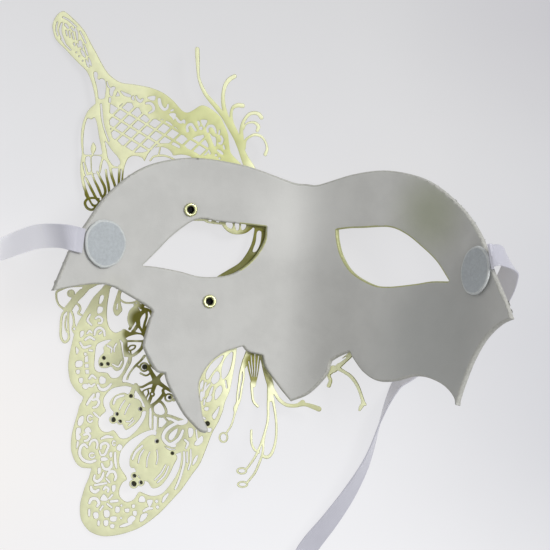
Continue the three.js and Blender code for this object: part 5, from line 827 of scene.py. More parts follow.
    ["D-",0,[[-57.11,-53.98,1.38]]],
    ["D-",0,[[-39.04,-45.11,2.04]]],
    ["D-",0,[[-43.46,-61.13,1.6]]],
    ["D-",0,[[-37.68,-65.54,1.31]]],
    ["D-",0,[[-51.78,-74.02,1.46]]],
    ["D-",0,[[-52.01,-77.02,2.04]]],
    ["D-",0,[[-49.45,-76.47,1.53]]],
    ["D-",0,[[-24.72,-54.54,1.82]]],
]
STONES = [[-63.16,-30.56,0.69],[-64.05,-33.01,0.69],[-61.63,-32.77,0.69],[-48.11,-33.89,1.02],[-53.13,-44.61,0.69],[-49.53,-49.38,0.69],[-58.19,-51.29,0.69],[-59.57,-53.41,0.95],[-57.04,-53.87,0.69],[-43.46,-61.25,0.69],[-37.76,-65.62,0.69],[-51.86,-74.02,0.69],[-52.01,-76.98,1.02],[-49.41,-76.51,0.69],[-24.79,-54.57,0.98],[-38.82,-45.07,0.69]]
LEFT_ROUTE = [[-68.95,12.27,32.89,0.05,0.999,0.0],[-70.27,12.58,34.17,0.05,0.999,0.0],[-72.0,13.07,35.38,0.05,0.999,0.02],[-75.07,13.72,35.08,-0.119,0.988,0.099],[-78.9,14.16,31.48,-0.116,0.964,0.241],[-82.96,14.24,25.08,-0.111,0.923,0.369],[-87.11,13.85,17.88,-0.107,0.889,0.445],[-91.22,12.82,11.8,-0.249,0.83,0.498],[-96.05,11.19,6.4,-0.239,0.796,0.557],[-100.68,9.44,3.9,-0.23,0.767,0.599],[-106.0,7.4,3.5,-0.185,0.695,0.695],[-111.0,6.0,3.9,-0.152,0.531,0.834],[-116.5,4.9,4.6,-0.08,0.279,0.957],[-122.0,4.2,5.1,0.0,0.05,0.999],[-126.0,4.02,5.2,0.0,0.0,1.0]]
RIGHT_ROUTE = [[75.43,6.39,62.2,0.3,-0.741,0.601],[76.11,6.65,64.06,0.3,-0.741,0.601],[77.78,7.01,63.7,0.33,-0.8,0.5],[79.99,6.67,62.1,0.343,-0.889,0.303],[82.26,5.46,57.5,0.382,-0.855,0.352],[83.54,3.01,52.0,0.523,-0.576,0.628],[83.05,-0.71,46.5,0.621,-0.451,0.641],[81.69,-4.65,40.5,0.704,-0.503,0.503],[79.45,-8.99,34.0,0.741,-0.543,0.395],[75.06,-15.23,24.0,0.743,-0.579,0.338],[68.35,-21.93,14.5,0.747,-0.574,0.335],[61.02,-27.57,7.9,0.707,-0.566,0.424],[53.85,-32.83,3.73,0.5,-0.5,0.707],[48.3,-37.24,4.3,0.398,-0.35,0.848],[45.19,-39.99,4.6,0.311,-0.21,0.927],[41.83,-46.07,4.79,0.151,-0.087,0.985],[38.88,-53.8,4.81,-0.016,0.007,1.0],[35.56,-64.12,4.77,-0.187,0.091,0.978],[32.62,-71.14,4.6,-0.33,0.176,0.927],[26.92,-81.12,4.15,-0.51,0.293,0.809],[20.66,-90.0,3.68,-0.632,0.344,0.695],[11.73,-101.48,3.23,-0.714,0.381,0.588],[6.2,-112.3,4.3,-0.609,0.295,0.737],[2.6,-119.5,4.9,-0.299,0.12,0.947],[0.3,-127.0,5.2,-0.04,0.0,0.999],[-0.7,-131.2,5.2,0.0,0.0,1.0]]


# ---------------------------------------------------------------- materials
def rgb(r, g, b):
    """An 8-bit display colour as scene-linear RGBA."""
    return tuple(((c / 255) / 12.92 if c < 10 else ((c / 255 + 0.055) / 1.055) ** 2.4) for c in (r, g, b)) + (1.0,)


# ---------------------------------------------------------------- look settings
C_SHELL_IN, C_SHELL_OUT, C_SHELL_RIM, C_EYE_RIM = (196, 196, 193), (206, 196, 150), (186, 186, 180), (182, 184, 134)
C_PAINTED_SHADE_OLIVE, C_GOLD, C_GOLD_DARK, C_EDGE, C_FELT, C_RIB = (126, 124, 30), (252, 254, 210), (190, 190, 120), (150, 150, 84), (183, 189, 193), (176, 176, 186)
# soft darker areas of the metal, painted shade and painted reflection, darkest olive near and under the shell: x, y, z,
# radius (mm), colour (0 is the painted shade olive), strength
GOLD_PAINTED_SHADE_SPOTS = [
    [-7.0, 13.7, 3.6, 8, [112, 110, 24], 1.0],
    [-9.2, 8.5, 4.1, 9, [100, 98, 4], 1.0],
    [-11.8, 4.4, 4.8, 9, [96, 96, 2], 1.0],
    [-15.5, 1.5, 5.9, 9, [96, 96, 2], 1.0],
    [-13.6, 22.1, 5.3, 16, 0, 0.5],
    [-53.1, -26.5, 5.0, 3.6, 0, 0.9],
    [-53.4, -21.7, 5.1, 3.6, 0, 0.95],
    [-49.7, -16.2, 5.8, 5.0, 0, 1.0],
    [-47.1, -12.2, 6.3, 4.0, 0, 1.0],
    [-48.6, -20.6, 5.9, 4.0, 0, 1.0],
    [-48.6, -26.5, 5.8, 4.0, 0, 0.9],
    [-46.0, -35.4, 6.1, 4.2, 0, 0.95],
    [-43.7, -39.0, 6.4, 5.0, 0, 0.8],
    [-44.9, -43.5, 6.1, 4.6, 0, 0.95],
    [-47.5, -42.0, 5.7, 3.6, 0, 0.85],
    [-40.5, -42.7, 6.9, 4.4, 0, 0.95],
    [-43.1, -46.8, 6.4, 4.0, 0, 0.7],
    [-50.5, -32.1, 5.4, 3.4, 0, 0.8],
    [-67.2, 28.1, 3.2, 7.0, 0, 1.0],
    [-64.2, 31.4, 3.7, 6.5, 0, 0.95],
    [-60.1, 33.6, 4.4, 5.5, 0, 0.9],
    [-56.8, 34.6, 5.0, 5.0, 0, 0.85],
    [-51.9, 38.7, 5.9, 4.2, 0, 0.6],
    [-8.1, -32.1, 5.6, 5.2, 0, 1.0],
    [-8.0, -36.8, 6.1, 4.0, 0, 0.95],
    [-3.7, -39.1, 5.0, 3.6, 0, 0.75],
    [-4.8, -35.8, 4.8, 3.0, 0, 0.8],
    [-25.7, 51.8, 8.4, 20, [206, 210, 142], 0.75],
    [-37.9, 64.3, 8.2, 12, [214, 217, 152], 0.6],
    [13.6, -47.8, 8.2, 14, [222, 224, 168], 0.6],
    [-14.4, 46.0, 6.5, 10, [200, 204, 134], 0.6],
]
FLOOR_TOP, FLOOR_BOTTOM, FLOOR_RIGHT, FLOOR_WARM, FLOOR_CORNER = rgb(204, 204, 206), rgb(238, 238, 241), rgb(194, 195, 202), rgb(244, 240, 236), rgb(186, 185, 191)
FLOOR_EMIT, FLOOR_ALBEDO, WORLD = 0.91, 0.12, 0.34
GROW = 0.07  # mm, the etch's undercut round every opening
LIGHTS = [("key", (0.86, 0.45, 1.15), (0.5, 0.5), 12.0), ("top", (0.10, 0.05, 1.0), (0.3, 0.3), 1.3), ("fill", (-0.7, 0.5, 1.4), (0.9, 0.9), 0.5)]


class Nodes:
    def __init__(self, name):
        self.m = bpy.data.materials.new(name)
        self.m.use_nodes = True
        self.t = self.m.node_tree
        self.b = self.t.nodes["Principled BSDF"]
        self.c = self.t.nodes.new("ShaderNodeTexCoord")

    def new(self, kind, **props):
        n = self.t.nodes.new(kind)
        for k, v in props.items():
            setattr(n, k, v)
        return n

    def link(self, a, b):
        self.t.links.new(a, b)

    def noise(self, scale, detail=4.0, rough=0.55, coord="Object", stretch=None):
        n = self.new("ShaderNodeTexNoise")
        n.inputs["Scale"].default_value = scale
        n.inputs["Detail"].default_value = detail
        n.inputs["Roughness"].default_value = rough
        src = self.c.outputs[coord]
        if stretch:
            mp = self.new("ShaderNodeMapping")
            mp.inputs["Scale"].default_value = stretch
            self.link(src, mp.inputs["Vector"])
            src = mp.outputs["Vector"]
        self.link(src, n.inputs["Vector"])
        return n.outputs["Fac"]

    def remap(self, v, a, b, c, d, smooth=False):
        n = self.new("ShaderNodeMapRange")
        n.interpolation_type = "SMOOTHSTEP" if smooth else "LINEAR"
        for k, x in zip(("From Min", "From Max", "To Min", "To Max"), (a, b, c, d)):
            n.inputs[k].default_value = x
        self.link(v, n.inputs["Value"])
        return n.outputs["Result"]

    def mix(self, fac, a, b):
        n = self.new("ShaderNodeMix", data_type="RGBA")
        self.link(fac, n.inputs["Factor"])
        for s, v in (("A", a), ("B", b)):
            sock = [i for i in n.inputs if i.name == s and i.type == "RGBA"][0]
            if isinstance(v, tuple):
                sock.default_value = v
            else:
                self.link(v, sock)
        return [o for o in n.outputs if o.type == "RGBA"][0]

    def spot(self, colour, centre, radius, strength, inner=0.0):
        """colour shows in a soft ball round centre (metres), over what the base colour is."""
        n = self.new("ShaderNodeVectorMath", operation="DISTANCE")
        self.link(self.c.outputs["Object"], n.inputs[0])
        n.inputs[1].default_value = centre
        f = self.remap(n.outputs["Value"], inner, radius, strength, 0.0, True)
        self.colour = self.mix(f, self.colour, colour)

    def bump(self, h, strength, dist):
        n = self.new("ShaderNodeBump")
        n.inputs["Strength"].default_value = strength
        n.inputs["Distance"].default_value = dist
        self.link(h, n.inputs["Height"])
        if getattr(self, "norm", None) is not None:
            self.link(self.norm, n.inputs["Normal"])
        self.norm = n.outputs["Normal"]

    def done(self, rough=None, **values):
        self.link(self.colour, self.b.inputs["Base Color"])
        if rough is not None:
            self.link(rough, self.b.inputs["Roughness"])
        if getattr(self, "norm", None) is not None:
            self.link(self.norm, self.b.inputs["Normal"])
        for k, v in values.items():
            self.b.inputs[k.replace("_", " ")].default_value = v
        return self.m


def shade(c, k):
    return (min(1, c[0] * k), min(1, c[1] * k), min(1, c[2] * k), 1.0)


def shell_back():
    n = Nodes("shell_inside_white")
    base = SHELL_IN
    f = n.remap(n.noise(90, 3), 0.35, 0.65, 0, 1, True)
    n.colour = n.mix(f, shade(base, 0.975), shade(base, 1.02))
    g = n.remap(n.noise(2600, 2), 0.3, 0.7, 0, 1)
    n.colour = n.mix(g, n.colour, n.mix(f, shade(base, 0.94), shade(base, 1.03)))
    # painted light: an olive tint standing in for the gold's reflected light on the inner right side
    n.spot(rgb(138, 146, 102), (0.0575, 0.0215, 0.031), 0.023, 0.5, 0.002)
    # painted highlight brightening the centre by the nose ridge
    n.spot(rgb(226, 226, 223), (0.0105, 0.0220, 0.002), 0.028, 0.6, 0.004)
    # painted shade darkening the inner right cheek
    n.spot(rgb(168, 170, 168), (0.0620, -0.0270, 0.036), 0.040, 0.65, 0.012)
    # painted gold-tinted shade on the inner lower left edge, next to the sheet
    n.spot(rgb(186, 184, 150), (-0.0560, -0.0060, 0.031), 0.012, 0.35)
    n.bump(n.noise(420, 3), 0.10, 0.0004)
    n.bump(n.noise(2400, 2), 0.22, 0.0001)
    return n.done(n.remap(n.noise(300), 0.3, 0.7, 0.50, 0.62), Specular_IOR_Level=0.4)


def shell_gold(name, base, k=1.0):
    n = Nodes(name)
    f = n.remap(n.noise(60, 4), 0.3, 0.7, 0, 1, True)
    n.colour = n.mix(f, shade(base, 0.86 * k), shade(base, 1.06 * k))
    n.bump(n.noise(900, 3), 0.12, 0.0001)
    n.bump(n.noise(60, 2), 0.08, 0.0008)
    return n.done(n.remap(n.noise(700), 0.3, 0.7, 0.30, 0.46), Metallic=0.85)


def gold(name, base, dark, metallic, r0, r1, painted_shade_spots=()):
    """Etched sheet metal: fine grain, faint scratches and small darker stains, with painted shade spots round given
    centres.
    """
    n = Nodes(name)
    f = n.remap(n.noise(260, 5, 0.6), 0.35, 0.68, 0, 1, True)
    n.colour = n.mix(f, base, shade(base, 0.95))
    s = n.remap(n.noise(1500, 4, 0.65), 0.60, 0.74, 0, 0.16, True)
    n.colour = n.mix(s, n.colour, dark)
    for sp in painted_shade_spots:
        # painted shade: each spot darkens the metal round its centre
        n.spot(*sp, sp[2] * 0.45)
    n.bump(n.noise(3200, 3), 0.25, 0.00004)
    n.bump(n.noise(500, 3, stretch=(1, 6, 1)), 0.12, 0.0001)
    return n.done(n.remap(n.noise(900), 0.3, 0.7, r0, r1), Metallic=metallic)


def felt(name, base):
    n = Nodes(name)
    f = n.remap(n.noise(900, 6, 0.7), 0.3, 0.7, 0, 1)
    n.colour = n.mix(f, shade(base, 0.86), shade(base, 1.10))
    n.bump(n.noise(1500, 6, 0.75), 0.7, 0.00025)
    n.bump(n.noise(220, 3), 0.4, 0.0006)
    return n.done(None, Roughness=0.93, Sheen_Weight=0.35, Sheen_Roughness=0.4)


def satin(name, base):
    """Ribbon: fine ribs across its width and softer warp lines along it."""
    n = Nodes(name)
    uv = n.c.outputs["UV"]
    w = n.new("ShaderNodeTexWave", wave_type="BANDS", bands_direction="Y", wave_profile="SIN")
    w.inputs["Scale"].default_value = 620.0
    w.inputs["Distortion"].default_value = 0.6
    w.inputs["Detail"].default_value = 2.0
    n.link(uv, w.inputs["Vector"])
    v = n.new("ShaderNodeTexWave", wave_type="BANDS", bands_direction="X", wave_profile="SIN")
    v.inputs["Scale"].default_value = 900.0
    v.inputs["Distortion"].default_value = 0.4
    n.link(uv, v.inputs["Vector"])
    n.colour = n.mix(w.outputs["Fac"], shade(base, 0.93), shade(base, 1.05))
    n.colour = n.mix(n.remap(n.noise(130, 3), 0.35, 0.7, 0, 0.5), n.colour, shade(base, 0.9))
    # painted light brightening the left ribbon near its pad
    n.spot(rgb(250, 250, 255), (-0.101, 0.012, 0.006), 0.046, 1.0, 0.016)
    n.bump(w.outputs["Fac"], 0.22, 0.00006)
    n.bump(v.outputs["Fac"], 0.25, 0.00005)
    # the ribbon glows faintly in its base colour, painted light standing in for light through the satin
    return n.done(n.remap(n.noise(600), 0.3, 0.7, 0.42, 0.54), Sheen_Weight=0.25, Anisotropic=0.4, Specular_IOR_Level=0.5, Emission_Color=base, Emission_Strength=0.3)


def paper(name, base):
    n = Nodes(name)
    n.colour = n.mix(n.remap(n.noise(700, 5), 0.3, 0.7, 0, 1), shade(base, 0.93), shade(base, 1.04))
    n.bump(n.noise(1800, 4), 0.3, 0.0001)
    return n.done(None, Roughness=0.8)


def plain(name, base, rough, **kw):
    n = Nodes(name)
    n.colour = n.mix(n.remap(n.noise(1200, 3), 0.3, 0.7, 0, 1), shade(base, 0.85), shade(base, 1.12))
    n.bump(n.noise(2500, 2), 0.15, 0.00005)
    return n.done(n.remap(n.noise(800), 0.3, 0.7, rough * 0.85, rough * 1.15), **kw)


SHELL_IN = rgb(*C_SHELL_IN)
M_IN = shell_back()
M_OUT = shell_gold("shell_front_gold", rgb(*C_SHELL_OUT))
M_RIM = plain("shell_edge", rgb(*C_SHELL_RIM), 0.6, Specular_IOR_Level=0.3)
M_EYE = plain("eye_edge_gold", rgb(*C_EYE_RIM), 0.45, Metallic=0.25)
# the olive of the painted shade spots on the sheet
PAINTED_SHADE_OLIVE = rgb(*C_PAINTED_SHADE_OLIVE)
painted_shade_spots = [(PAINTED_SHADE_OLIVE if s[4] == 0 else rgb(*s[4]), (s[0] / 1000 + SHIFT[0] / 1000, s[1] / 1000 + SHIFT[1] / 1000, s[2] / 1000), s[3] / 1000, s[5]) for s in GOLD_PAINTED_SHADE_SPOTS]
M_GOLD = gold("sheet_back_gold", rgb(*C_GOLD), rgb(*C_GOLD_DARK), 0.10, 0.42, 0.56, painted_shade_spots)
M_GOLDF = gold("sheet_front_gold", rgb(214, 196, 128), rgb(120, 104, 50), 1.0, 0.22, 0.36)
M_EDGE = gold("sheet_edge", rgb(*C_EDGE), rgb(84, 84, 40), 0.35, 0.4, 0.55, painted_shade_spots)
M_RIV = gold("rivet_brass", rgb(214, 216, 168), rgb(110, 112, 60), 0.9, 0.25, 0.4)
# the rivet's bore: near black, painted shade in the hole
M_RIVET_BORE_SHADE = plain("rivet_bore_painted_shade", rgb(14, 14, 12), 0.6)
M_FOIL = plain("stone_foil_back", rgb(58, 60, 44), 0.35, Metallic=0.5)
M_STONE = plain("stone_crystal", rgb(222, 224, 214), 0.08, Specular_IOR_Level=0.9, Coat_Weight=0.8)
M_FELT = felt("pad_felt", rgb(*C_FELT))
# the pad's rim band: lighter felt, a painted highlight round the edge
M_FELT_RIM_HIGHLIGHT = felt("pad_felt_painted_highlight_rim", rgb(206, 210, 210))
M_RIB = satin("ribbon_satin", rgb(*C_RIB))
M_TIE = paper("tie_paper", rgb(232, 230, 222))

# ---------------------------------------------------------------- shell
SH = Field(-90.0, 96.0, -66.0, 56.0, 0.25)
outline = np.vstack([catmull(g, 14, False)[:-1] for g in SHELL])
SH.put(SH.polygon(outline), False)
for eye in (EYE_L, EYE_R):
    SH.put(SH.polygon(np.vstack([catmull(g, 14, False)[:-1] for g in eye])), True)
for rx, ry in RIVETS:
    a = np.linspace(0, 2 * math.pi, 48, endpoint=False)
    SH.put(SH.polygon(np.stack([rx + 1.85 * np.cos(a), ry + 1.85 * np.sin(a)], -1)), True)
shell = plate("mask_shell_moulding", SH, shell_front, SHELL_T, 0.55, 1.6, 0.012, 0.9, 0.9, [M_IN, M_OUT, M_RIM, M_EYE], rings=4, smallest=1.0)
eyes = np.array([[-8.0, 14.0, 5.0], [41.5, 5.5, 27.0]])
for p in shell.data.polygons:
    if p.material_index == 2:
        c = np.array(p.center) * 1000 - SHIFT
        if any(abs(c[0] - e[0]) < e[2] and abs(c[1] - e[1]) < 12.5 for e in eyes):
            p.material_index = 3
for _ in range(2):  # the front's paint stops short of the edge on the steep cheek
    rim = {v for p in shell.data.polygons if p.material_index == 2 for v in p.vertices}
    for p in shell.data.polygons:
        if p.material_index == 1 and p.center[0] > 0.05 and any(v in rim for v in p.vertices):
            p.material_index = 2
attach(shell, "root")
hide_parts("mask_shell")

# ---------------------------------------------------------------- etched sheet
LACE = Field(-84.5, 36.5, -99.0, 99.5, 0.14)
for kind, k, pts in OPS:
    cut = kind[1] == "-"
    grow = GROW if cut and kind[0] in "PL" else 0.0
    if kind[0] == "R":
        LACE.put(LACE.polygon(np.vstack([catmull(g, 6, False)[:-1] for g in pts])), cut)
    elif kind[0] == "P":
        p = np.array(pts, float)
        LACE.put(LACE.polygon(catmull(p, 5, True) if k else p), cut, grow)
    elif kind[0] == "L":
        LACE.put(LACE.stroke(catmull(pts, 6, k == 2) if len(pts) > 2 else np.array(pts, float)), cut, grow)
    elif kind[0] == "S":
        LACE.put(LACE.stroke(np.array(pts, float)), cut)
    else:
        x, y, d = pts[0]
        a = np.linspace(0, 2 * math.pi, 28, endpoint=False)
        LACE.put(LACE.polygon(np.stack([x + d / 2 * np.cos(a), y + d / 2 * np.sin(a)], -1)), cut)
sheet = plate("filigree_sheet", LACE, sheet_front, SHEET_T, 0.09, 2.0, 0.02, 1.6, 0.7, [M_GOLD, M_GOLDF, M_EDGE], rings=2, smallest=0.12)
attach(sheet, "root")
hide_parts("filigree_upper_wing", "filigree_lower_wing", "filigree_body")


# ---------------------------------------------------------------- turned pieces
def frame_at(surf, x, y):
    o = lift(surf, np.array([[x, y]]), 0.0)[0]
    nz = normals(surf, np.array([x]), np.array([y]))[0]
    ax = np.cross([0, 1, 0], nz)
    ax /= np.linalg.norm(ax)
    return o, ax, np.cross(nz, ax), nz


def turned(name, surf, x, y, prof, mats, segs=64, wobble=None):
    """prof: (radius mm, height mm along the surface normal, material of the band after it)."""
    o, ax, ay, az = frame_at(surf, x, y)
    verts, faces, mat = [], [], []
    rings = []
    for r, h, _m in prof:
        if r < 1e-6:
            rings.append([len(verts)])
            verts.append(o + az * h / 1000)
        else:
            row = []
            for i in range(segs):
                a = 2 * math.pi * i / segs
                rr, hh = (r, h) if wobble is None else wobble(r, h, a)
                row.append(len(verts))
                verts.append(o + (ax * math.cos(a) * rr + ay * math.sin(a) * rr + az * hh) / 1000)
            rings.append(row)
    for k in range(len(rings) - 1):
        A, B, m = rings[k], rings[k + 1], prof[k][2]
        for i in range(segs):
            j = (i + 1) % segs
            if len(A) == 1 and len(B) > 1:
                faces.append((A[0], B[j], B[i]))
            elif len(B) == 1 and len(A) > 1:
                faces.append((A[i], A[j], B[0]))
            else:
                faces.append((A[i], A[j], B[j], B[i]))
            mat.append(m)
    me = bpy.data.meshes.new(name)
    me.from_pydata([list(v) for v in verts], [], faces)
    for m in mats:
        me.materials.append(m)
    me.polygons.foreach_set("material_index", mat)
    me.update()
    ob = bpy.data.objects.new(name, me)
    scene.collection.objects.link(ob)
    smooth_by_angle(ob, 34)
    return ob


for node, (rx, ry) in zip(("upper_rivet", "lower_rivet"), RIVETS):
    P0, N0 = lift(shell_front, np.array([[rx, ry]]), 0)[0], normals(shell_front, np.array([rx]), np.array([ry]))[0]
    S0 = lift(sheet_front, np.array([[rx, ry]]), 0)[0]
    head = float((S0 - P0) @ N0) * 1000 - 0.4
    back = SHELL_T + 0.35
    # the bore, material 1, is painted near black as shade in the hole
    prof = [(0, head - 1.15, 0), (0.8, head - 1.12, 0), (1.5, head - 0.98, 0), (2.1, head - 0.68, 0), (2.42, head - 0.32, 0), (2.5, head - 0.12, 0), (2.46, head, 0),
            (1.5, head, 0), (1.5, back, 0), (2.3, back, 0), (2.47, back + 0.06, 0), (2.5, back + 0.18, 0), (2.44, back + 0.36, 0), (2.28, back + 0.52, 0), (2.02, back + 0.61, 0),
            (1.78, back + 0.60, 0), (1.55, back + 0.50, 0), (1.38, back + 0.34, 0), (1.27, back + 0.12, 1), (1.2, back - 0.3, 1), (1.18, head + 1.3, 1), (0.9, head + 1.2, 1), (0, head + 1.15, 1)]
    rv = turned(node + "_eyelet", shell_front, rx, ry, prof, [M_RIV, M_RIVET_BORE_SHADE], 72)
    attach(rv, "root")
    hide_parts(node)

for k, (sx, sy, sr) in enumerate(STONES):
    # a foiled back seen through the sheet's hole, and a cut crown under the sheet
    prof = [(0, -1.34, 1), (sr * 0.52, -1.34, 1), (sr * 0.84, -1.02, 1), (sr, -0.66, 1), (sr, -0.40, 0), (sr * 0.96, -0.34, 0), (sr * 0.72, -0.20, 0), (sr * 0.66, 0.02, 0), (sr * 0.52, 0.20, 0), (sr * 0.26, 0.30, 0), (0, 0.33, 0)]

    def cut(r, h, a, sr=sr):
        f = math.pi / 4
        if h < -0.4:
            w = math.cos(f / 2) / math.cos((a % f) - f / 2) if r < sr * 0.9 else 1.0
            return r * w, h
        return r, h

    st = turned("stone_set_%02d" % (k + 1), sheet_front, sx, sy, prof, [M_FOIL, M_STONE], 24, cut)
    smooth_by_angle(st, 12)
    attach(st, "root")
    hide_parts("stone_%02d" % (k + 1))

for node, px, py in PADS:
    ph = 0.7 if node[0] == "l" else 2.1

    def soft(r, h, a, ph=ph):
        w = 0.10 * math.sin(3 * a + ph) + 0.07 * math.sin(7 * a + 2 * ph) + 0.04 * math.sin(17 * a)
        k = (r / 8.8) ** 3
        return r + w * k, h + 0.06 * math.sin(2 * a + ph) * (r / 8.8) ** 2

    # material 1 is the rim band, lighter as a painted highlight
    prof = [(0, 2.87, 0), (3, 2.87, 0), (6, 2.87, 0), (8.0, 2.87, 1), (8.45, 2.92, 1), (8.68, 3.05, 1), (8.74, 3.25, 1), (8.68, 3.47, 1), (8.5, 3.66, 1), (8.2, 3.76, 1), (7.9, 3.78, 0), (7.6, 3.74, 0), (6.2, 3.83, 0), (4.4, 3.84, 0), (2.2, 3.85, 0), (0, 3.85, 0)]
    pad = turned(node + "_felt", shell_front, px, py, prof, [M_FELT, M_FELT_RIM_HIGHLIGHT], 96, soft)
    smooth_by_angle(pad, 80)
    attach(pad, "root")
    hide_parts(node)


# ---------------------------------------------------------------- ribbons
def centripetal(P, n):
    P = np.asarray(P, float)
    Q = np.vstack([2 * P[0] - P[1], P, 2 * P[-1] - P[-2]])
    out = []
    for i in range(len(P) - 1):
        p0, p1, p2, p3 = Q[i : i + 4]
        t = [0.0]
        for a, b in ((p0, p1), (p1, p2), (p2, p3)):
            t.append(t[-1] + max(float(np.linalg.norm((b - a)[:3])), 1e-6) ** 0.5)
        for s in np.linspace(t[1], t[2], n, endpoint=False):
            A1 = (t[1] - s) / (t[1] - t[0]) * p0 + (s - t[0]) / (t[1] - t[0]) * p1
            A2 = (t[2] - s) / (t[2] - t[1]) * p1 + (s - t[1]) / (t[2] - t[1]) * p2
            A3 = (t[3] - s) / (t[3] - t[2]) * p2 + (s - t[2]) / (t[3] - t[2]) * p3
            B1 = (t[2] - s) / (t[2] - t[0]) * A1 + (s - t[0]) / (t[2] - t[0]) * A2
            B2 = (t[3] - s) / (t[3] - t[1]) * A2 + (s - t[1]) / (t[3] - t[1]) * A3
            out.append((t[2] - s) / (t[2] - t[1]) * B1 + (s - t[1]) / (t[2] - t[1]) * B2)
    out.append(P[-1])
    return np.array(out)


def ribbon(side, route, centre, start_deg, turn, tie_deg):
    run = centripetal(route, 24)
    pts, sid = [p[:3] for p in run], [p[3:6] for p in run]
    # the roll: an inward spiral on edge
    R0, PITCH = 28.0, 3.4
    a0 = math.radians(start_deg)
    ent = np.array([centre[0] + R0 * math.cos(a0), centre[1] + R0 * math.sin(a0), 5.2])
    gap = np.linalg.norm(ent - pts[-1])
    for k in range(1, int(gap / 0.8)):
        t = k * 0.8 / gap
        pts.append(pts[-1] * 0 + run[-1][:3] * (1 - t) + ent * t)
        sid.append(np.array([0, 0, 1.0]))
    total = float(np.linalg.norm(np.diff(np.array(pts), axis=0), axis=1).sum())
    th = 0.0
    while total < 449.6:
        r = R0 - PITCH * th / (2 * math.pi)
        p = np.array([centre[0] + r * math.cos(a0 + turn * th), centre[1] + r * math.sin(a0 + turn * th), 5.2])
        total += float(np.linalg.norm(p - pts[-1]))
        pts.append(p)
        sid.append(np.array([0, 0, 1.0]))
        th += 0.85 / r
    P = np.array(pts)
    T = np.gradient(P, axis=0)
    T /= np.linalg.norm(T, axis=1, keepdims=True)
    Sd = np.array(sid)
    Sd = Sd - (Sd * T).sum(1, keepdims=True) * T
    Sd /= np.linalg.norm(Sd, axis=1, keepdims=True)
    U = np.cross(T, Sd)
    along = np.concatenate([[0], np.cumsum(np.linalg.norm(np.diff(P, axis=0), axis=1))])
    # cross-section: flat satin with a slightly thicker woven edge each side
    half = [(-4.5, 0.0), (-4.46, 0.20), (-4.3, 0.29), (-4.05, 0.27), (-3.8, 0.22), (-2.4, 0.235), (0.0, 0.25), (2.4, 0.235), (3.8, 0.22), (4.05, 0.27), (4.3, 0.29), (4.46, 0.20), (4.5, 0.0)]
    sec = half + [(w, -h) for w, h in half[-2:0:-1]]
    m = len(sec)
    verts, faces, uvs = [], [], []
    for i in range(len(P)):
        # faint loose waves across the width that fade out on the roll
        wav = 0.10 * math.sin(along[i] * 0.21 + (0.4 if side == "left" else 1.9)) * max(0.0, 1 - along[i] / 170.0) * min(1.0, along[i] / 12.0)
        for w, h in sec:
            verts.append((P[i] + Sd[i] * w + U[i] * (h + wav * (w / 4.5) ** 2)))
    n = len(P)
    for i in range(n - 1):
        for j in range(m):
            k = (j + 1) % m
            faces.append((i * m + j, i * m + k, (i + 1) * m + k, (i + 1) * m + j))
            uw = [(sec[j][0] / 1000, along[i] / 1000), (sec[k][0] / 1000, along[i] / 1000), (sec[k][0] / 1000, along[i + 1] / 1000), (sec[j][0] / 1000, along[i + 1] / 1000)]
            uvs += uw
    faces.append(tuple(range(m))[::-1])
    uvs += [(sec[j][0] / 1000, 0.0) for j in reversed(range(m))]
    faces.append(tuple((n - 1) * m + j for j in range(m)))
    uvs += [(sec[j][0] / 1000, along[-1] / 1000) for j in range(m)]
    me = bpy.data.meshes.new(side + "_ribbon")
    V = (np.array(verts) + SHIFT) / 1000
    me.from_pydata(V.tolist(), [], faces)
    me.materials.append(M_RIB)
    uv = me.uv_layers.new(name="ribbon")
    uv.data.foreach_set("uv", np.array(uvs, np.float32).ravel())
    me.update()
    ob = bpy.data.objects.new(side + "_ribbon", me)
    scene.collection.objects.link(ob)
    # outward faces
    import bmesh

    bm = bmesh.new()
    bm.from_mesh(me)
    bmesh.ops.recalc_face_normals(bm, faces=bm.faces)
    bm.to_mesh(me)
    bm.free()
    smooth_by_angle(ob, 60)
    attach(ob, "root")
    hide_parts(side + "_ribbon_run", side + "_ribbon_coil")
    # the paper band round the roll
    a = math.radians(tie_deg)
    er, et = np.array([math.cos(a), math.sin(a), 0]), np.array([-math.sin(a), math.cos(a), 0])
    turns = th / (2 * math.pi)
    rin, rout = R0 - PITCH * turns - 0.85, R0 + 0.85
    z0, z1, cr = 0.42, 10.0, 0.8
    ring = []
    for cxr, cz, s in ((rout - cr, z1 - cr, 0), (rin + cr, z1 - cr, 1), (rin + cr, z0 + cr, 2), (rout - cr, z0 + cr, 3)):
        for q in range(7):
            b = math.pi / 2 * (s + q / 6)
            ring.append((cxr + cr * math.cos(b), cz + cr * math.sin(b), math.cos(b), math.sin(b)))
    verts, faces = [], []
    for r, z, nr, nz in ring:
        for w, h in ((-2.0, 0), (-1.9, 0.17), (1.9, 0.17), (2.0, 0), (1.9, -0.17), (-1.9, -0.17)):
            p = np.array([centre[0], centre[1], 0]) + er * (r + nr * h) + et * w
            p[2] = z + nz * h
            verts.append((p + SHIFT) / 1000)
    q, c = len(ring), 6
    for i in range(q):
        for j in range(c):
            faces.append((i * c + j, i * c + (j + 1) % c, ((i + 1) % q) * c + (j + 1) % c, ((i + 1) % q) * c + j))
    tm = bpy.data.meshes.new(side + "_tie")
    tm.from_pydata([list(v) for v in verts], [], faces)
    tm.materials.append(M_TIE)
    tm.update()
    tie = bpy.data.objects.new(side + "_tie_band", tm)
    scene.collection.objects.link(tie)
    bm = bmesh.new()
    bm.from_mesh(tm)
    bmesh.ops.recalc_face_normals(bm, faces=bm.faces)
    bm.to_mesh(tm)
    bm.free()
    smooth_by_angle(tie, 40)
    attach(tie, "root")
    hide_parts(side + "_ribbon_tie")
    return ob


ribbon("left", LEFT_ROUTE, (-134.0, -24.0), 90.0, 1, 180.0)
ribbon("right", RIGHT_ROUTE, (-29.0, -138.0), 0.0, -1, 135.0)

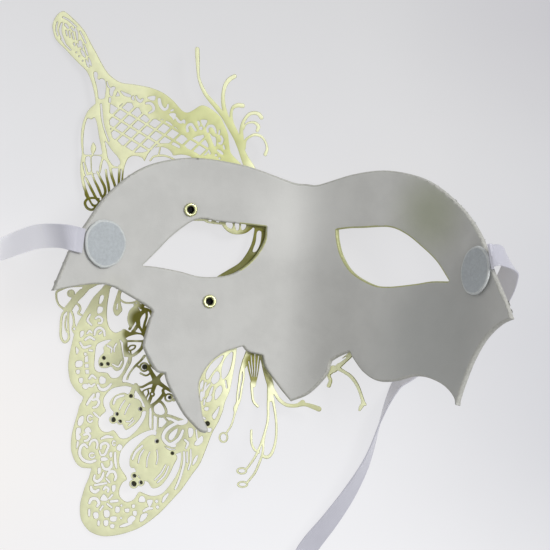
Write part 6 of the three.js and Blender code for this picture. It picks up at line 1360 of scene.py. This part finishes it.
# ---------------------------------------------------------------- floor and light
fm = bpy.data.meshes.new("floor")
g = 24
fv = [(-2.0 + 4.0 * i / g, -2.0 + 4.0 * j / g, -0.0002) for j in range(g + 1) for i in range(g + 1)]
ff = [(j * (g + 1) + i, j * (g + 1) + i + 1, (j + 1) * (g + 1) + i + 1, (j + 1) * (g + 1) + i) for j in range(g) for i in range(g)]
fm.from_pydata(fv, [], ff)
floor = bpy.data.objects.new("floor", fm)
scene.collection.objects.link(floor)
# painted light: the floor glows with a tiny albedo so shadows on it stay faint, and its glow is painted darker towards
# the top, the right and the upper right corner, and warmer at the lower left
fn = Nodes("floor_painted_glow")
sep = fn.new("ShaderNodeVectorMath", operation="DOT_PRODUCT")
fn.link(fn.c.outputs["Object"], sep.inputs[0])
sep.inputs[1].default_value = (-0.30, -0.95, 0.0)
fn.colour = fn.mix(fn.remap(sep.outputs["Value"], -0.12, 0.10, 0, 1), FLOOR_TOP, FLOOR_BOTTOM)
fn.spot(FLOOR_RIGHT, (0.15, -0.035, 0.0), 0.14, 0.85)
fn.spot(FLOOR_CORNER, (0.12, 0.115, 0.0), 0.10, 0.9)
fn.spot(FLOOR_WARM, (-0.13, -0.06, 0.0), 0.10, 0.8)
fn.link(fn.colour, fn.b.inputs["Emission Color"])
fn.colour = fn.mix(fn.remap(fn.noise(40, 2), 0.3, 0.7, 0, 1), (FLOOR_ALBEDO, FLOOR_ALBEDO, FLOOR_ALBEDO, 1), shade((FLOOR_ALBEDO,) * 3, 1.05))
floor.data.materials.append(fn.done(None, Roughness=0.9, Specular_IOR_Level=0.05, Emission_Strength=FLOOR_EMIT))

world = bpy.data.worlds.new("world")
scene.world = world
world.use_nodes = True
world.node_tree.nodes["Background"].inputs["Color"].default_value = (1.0, 1.0, 1.0, 1.0)
world.node_tree.nodes["Background"].inputs["Strength"].default_value = WORLD


def area(name, at, size, power, target=(0, 0, 0.02)):
    d = bpy.data.lights.new(name, "AREA")
    d.shape = "RECTANGLE"
    d.size, d.size_y = size
    d.energy = power
    o = bpy.data.objects.new(name, d)
    o.location = at
    o.rotation_euler = (Vector(target) - Vector(at)).to_track_quat("-Z", "Y").to_euler()
    scene.collection.objects.link(o)
    return o


for args in LIGHTS:
    area(*args)
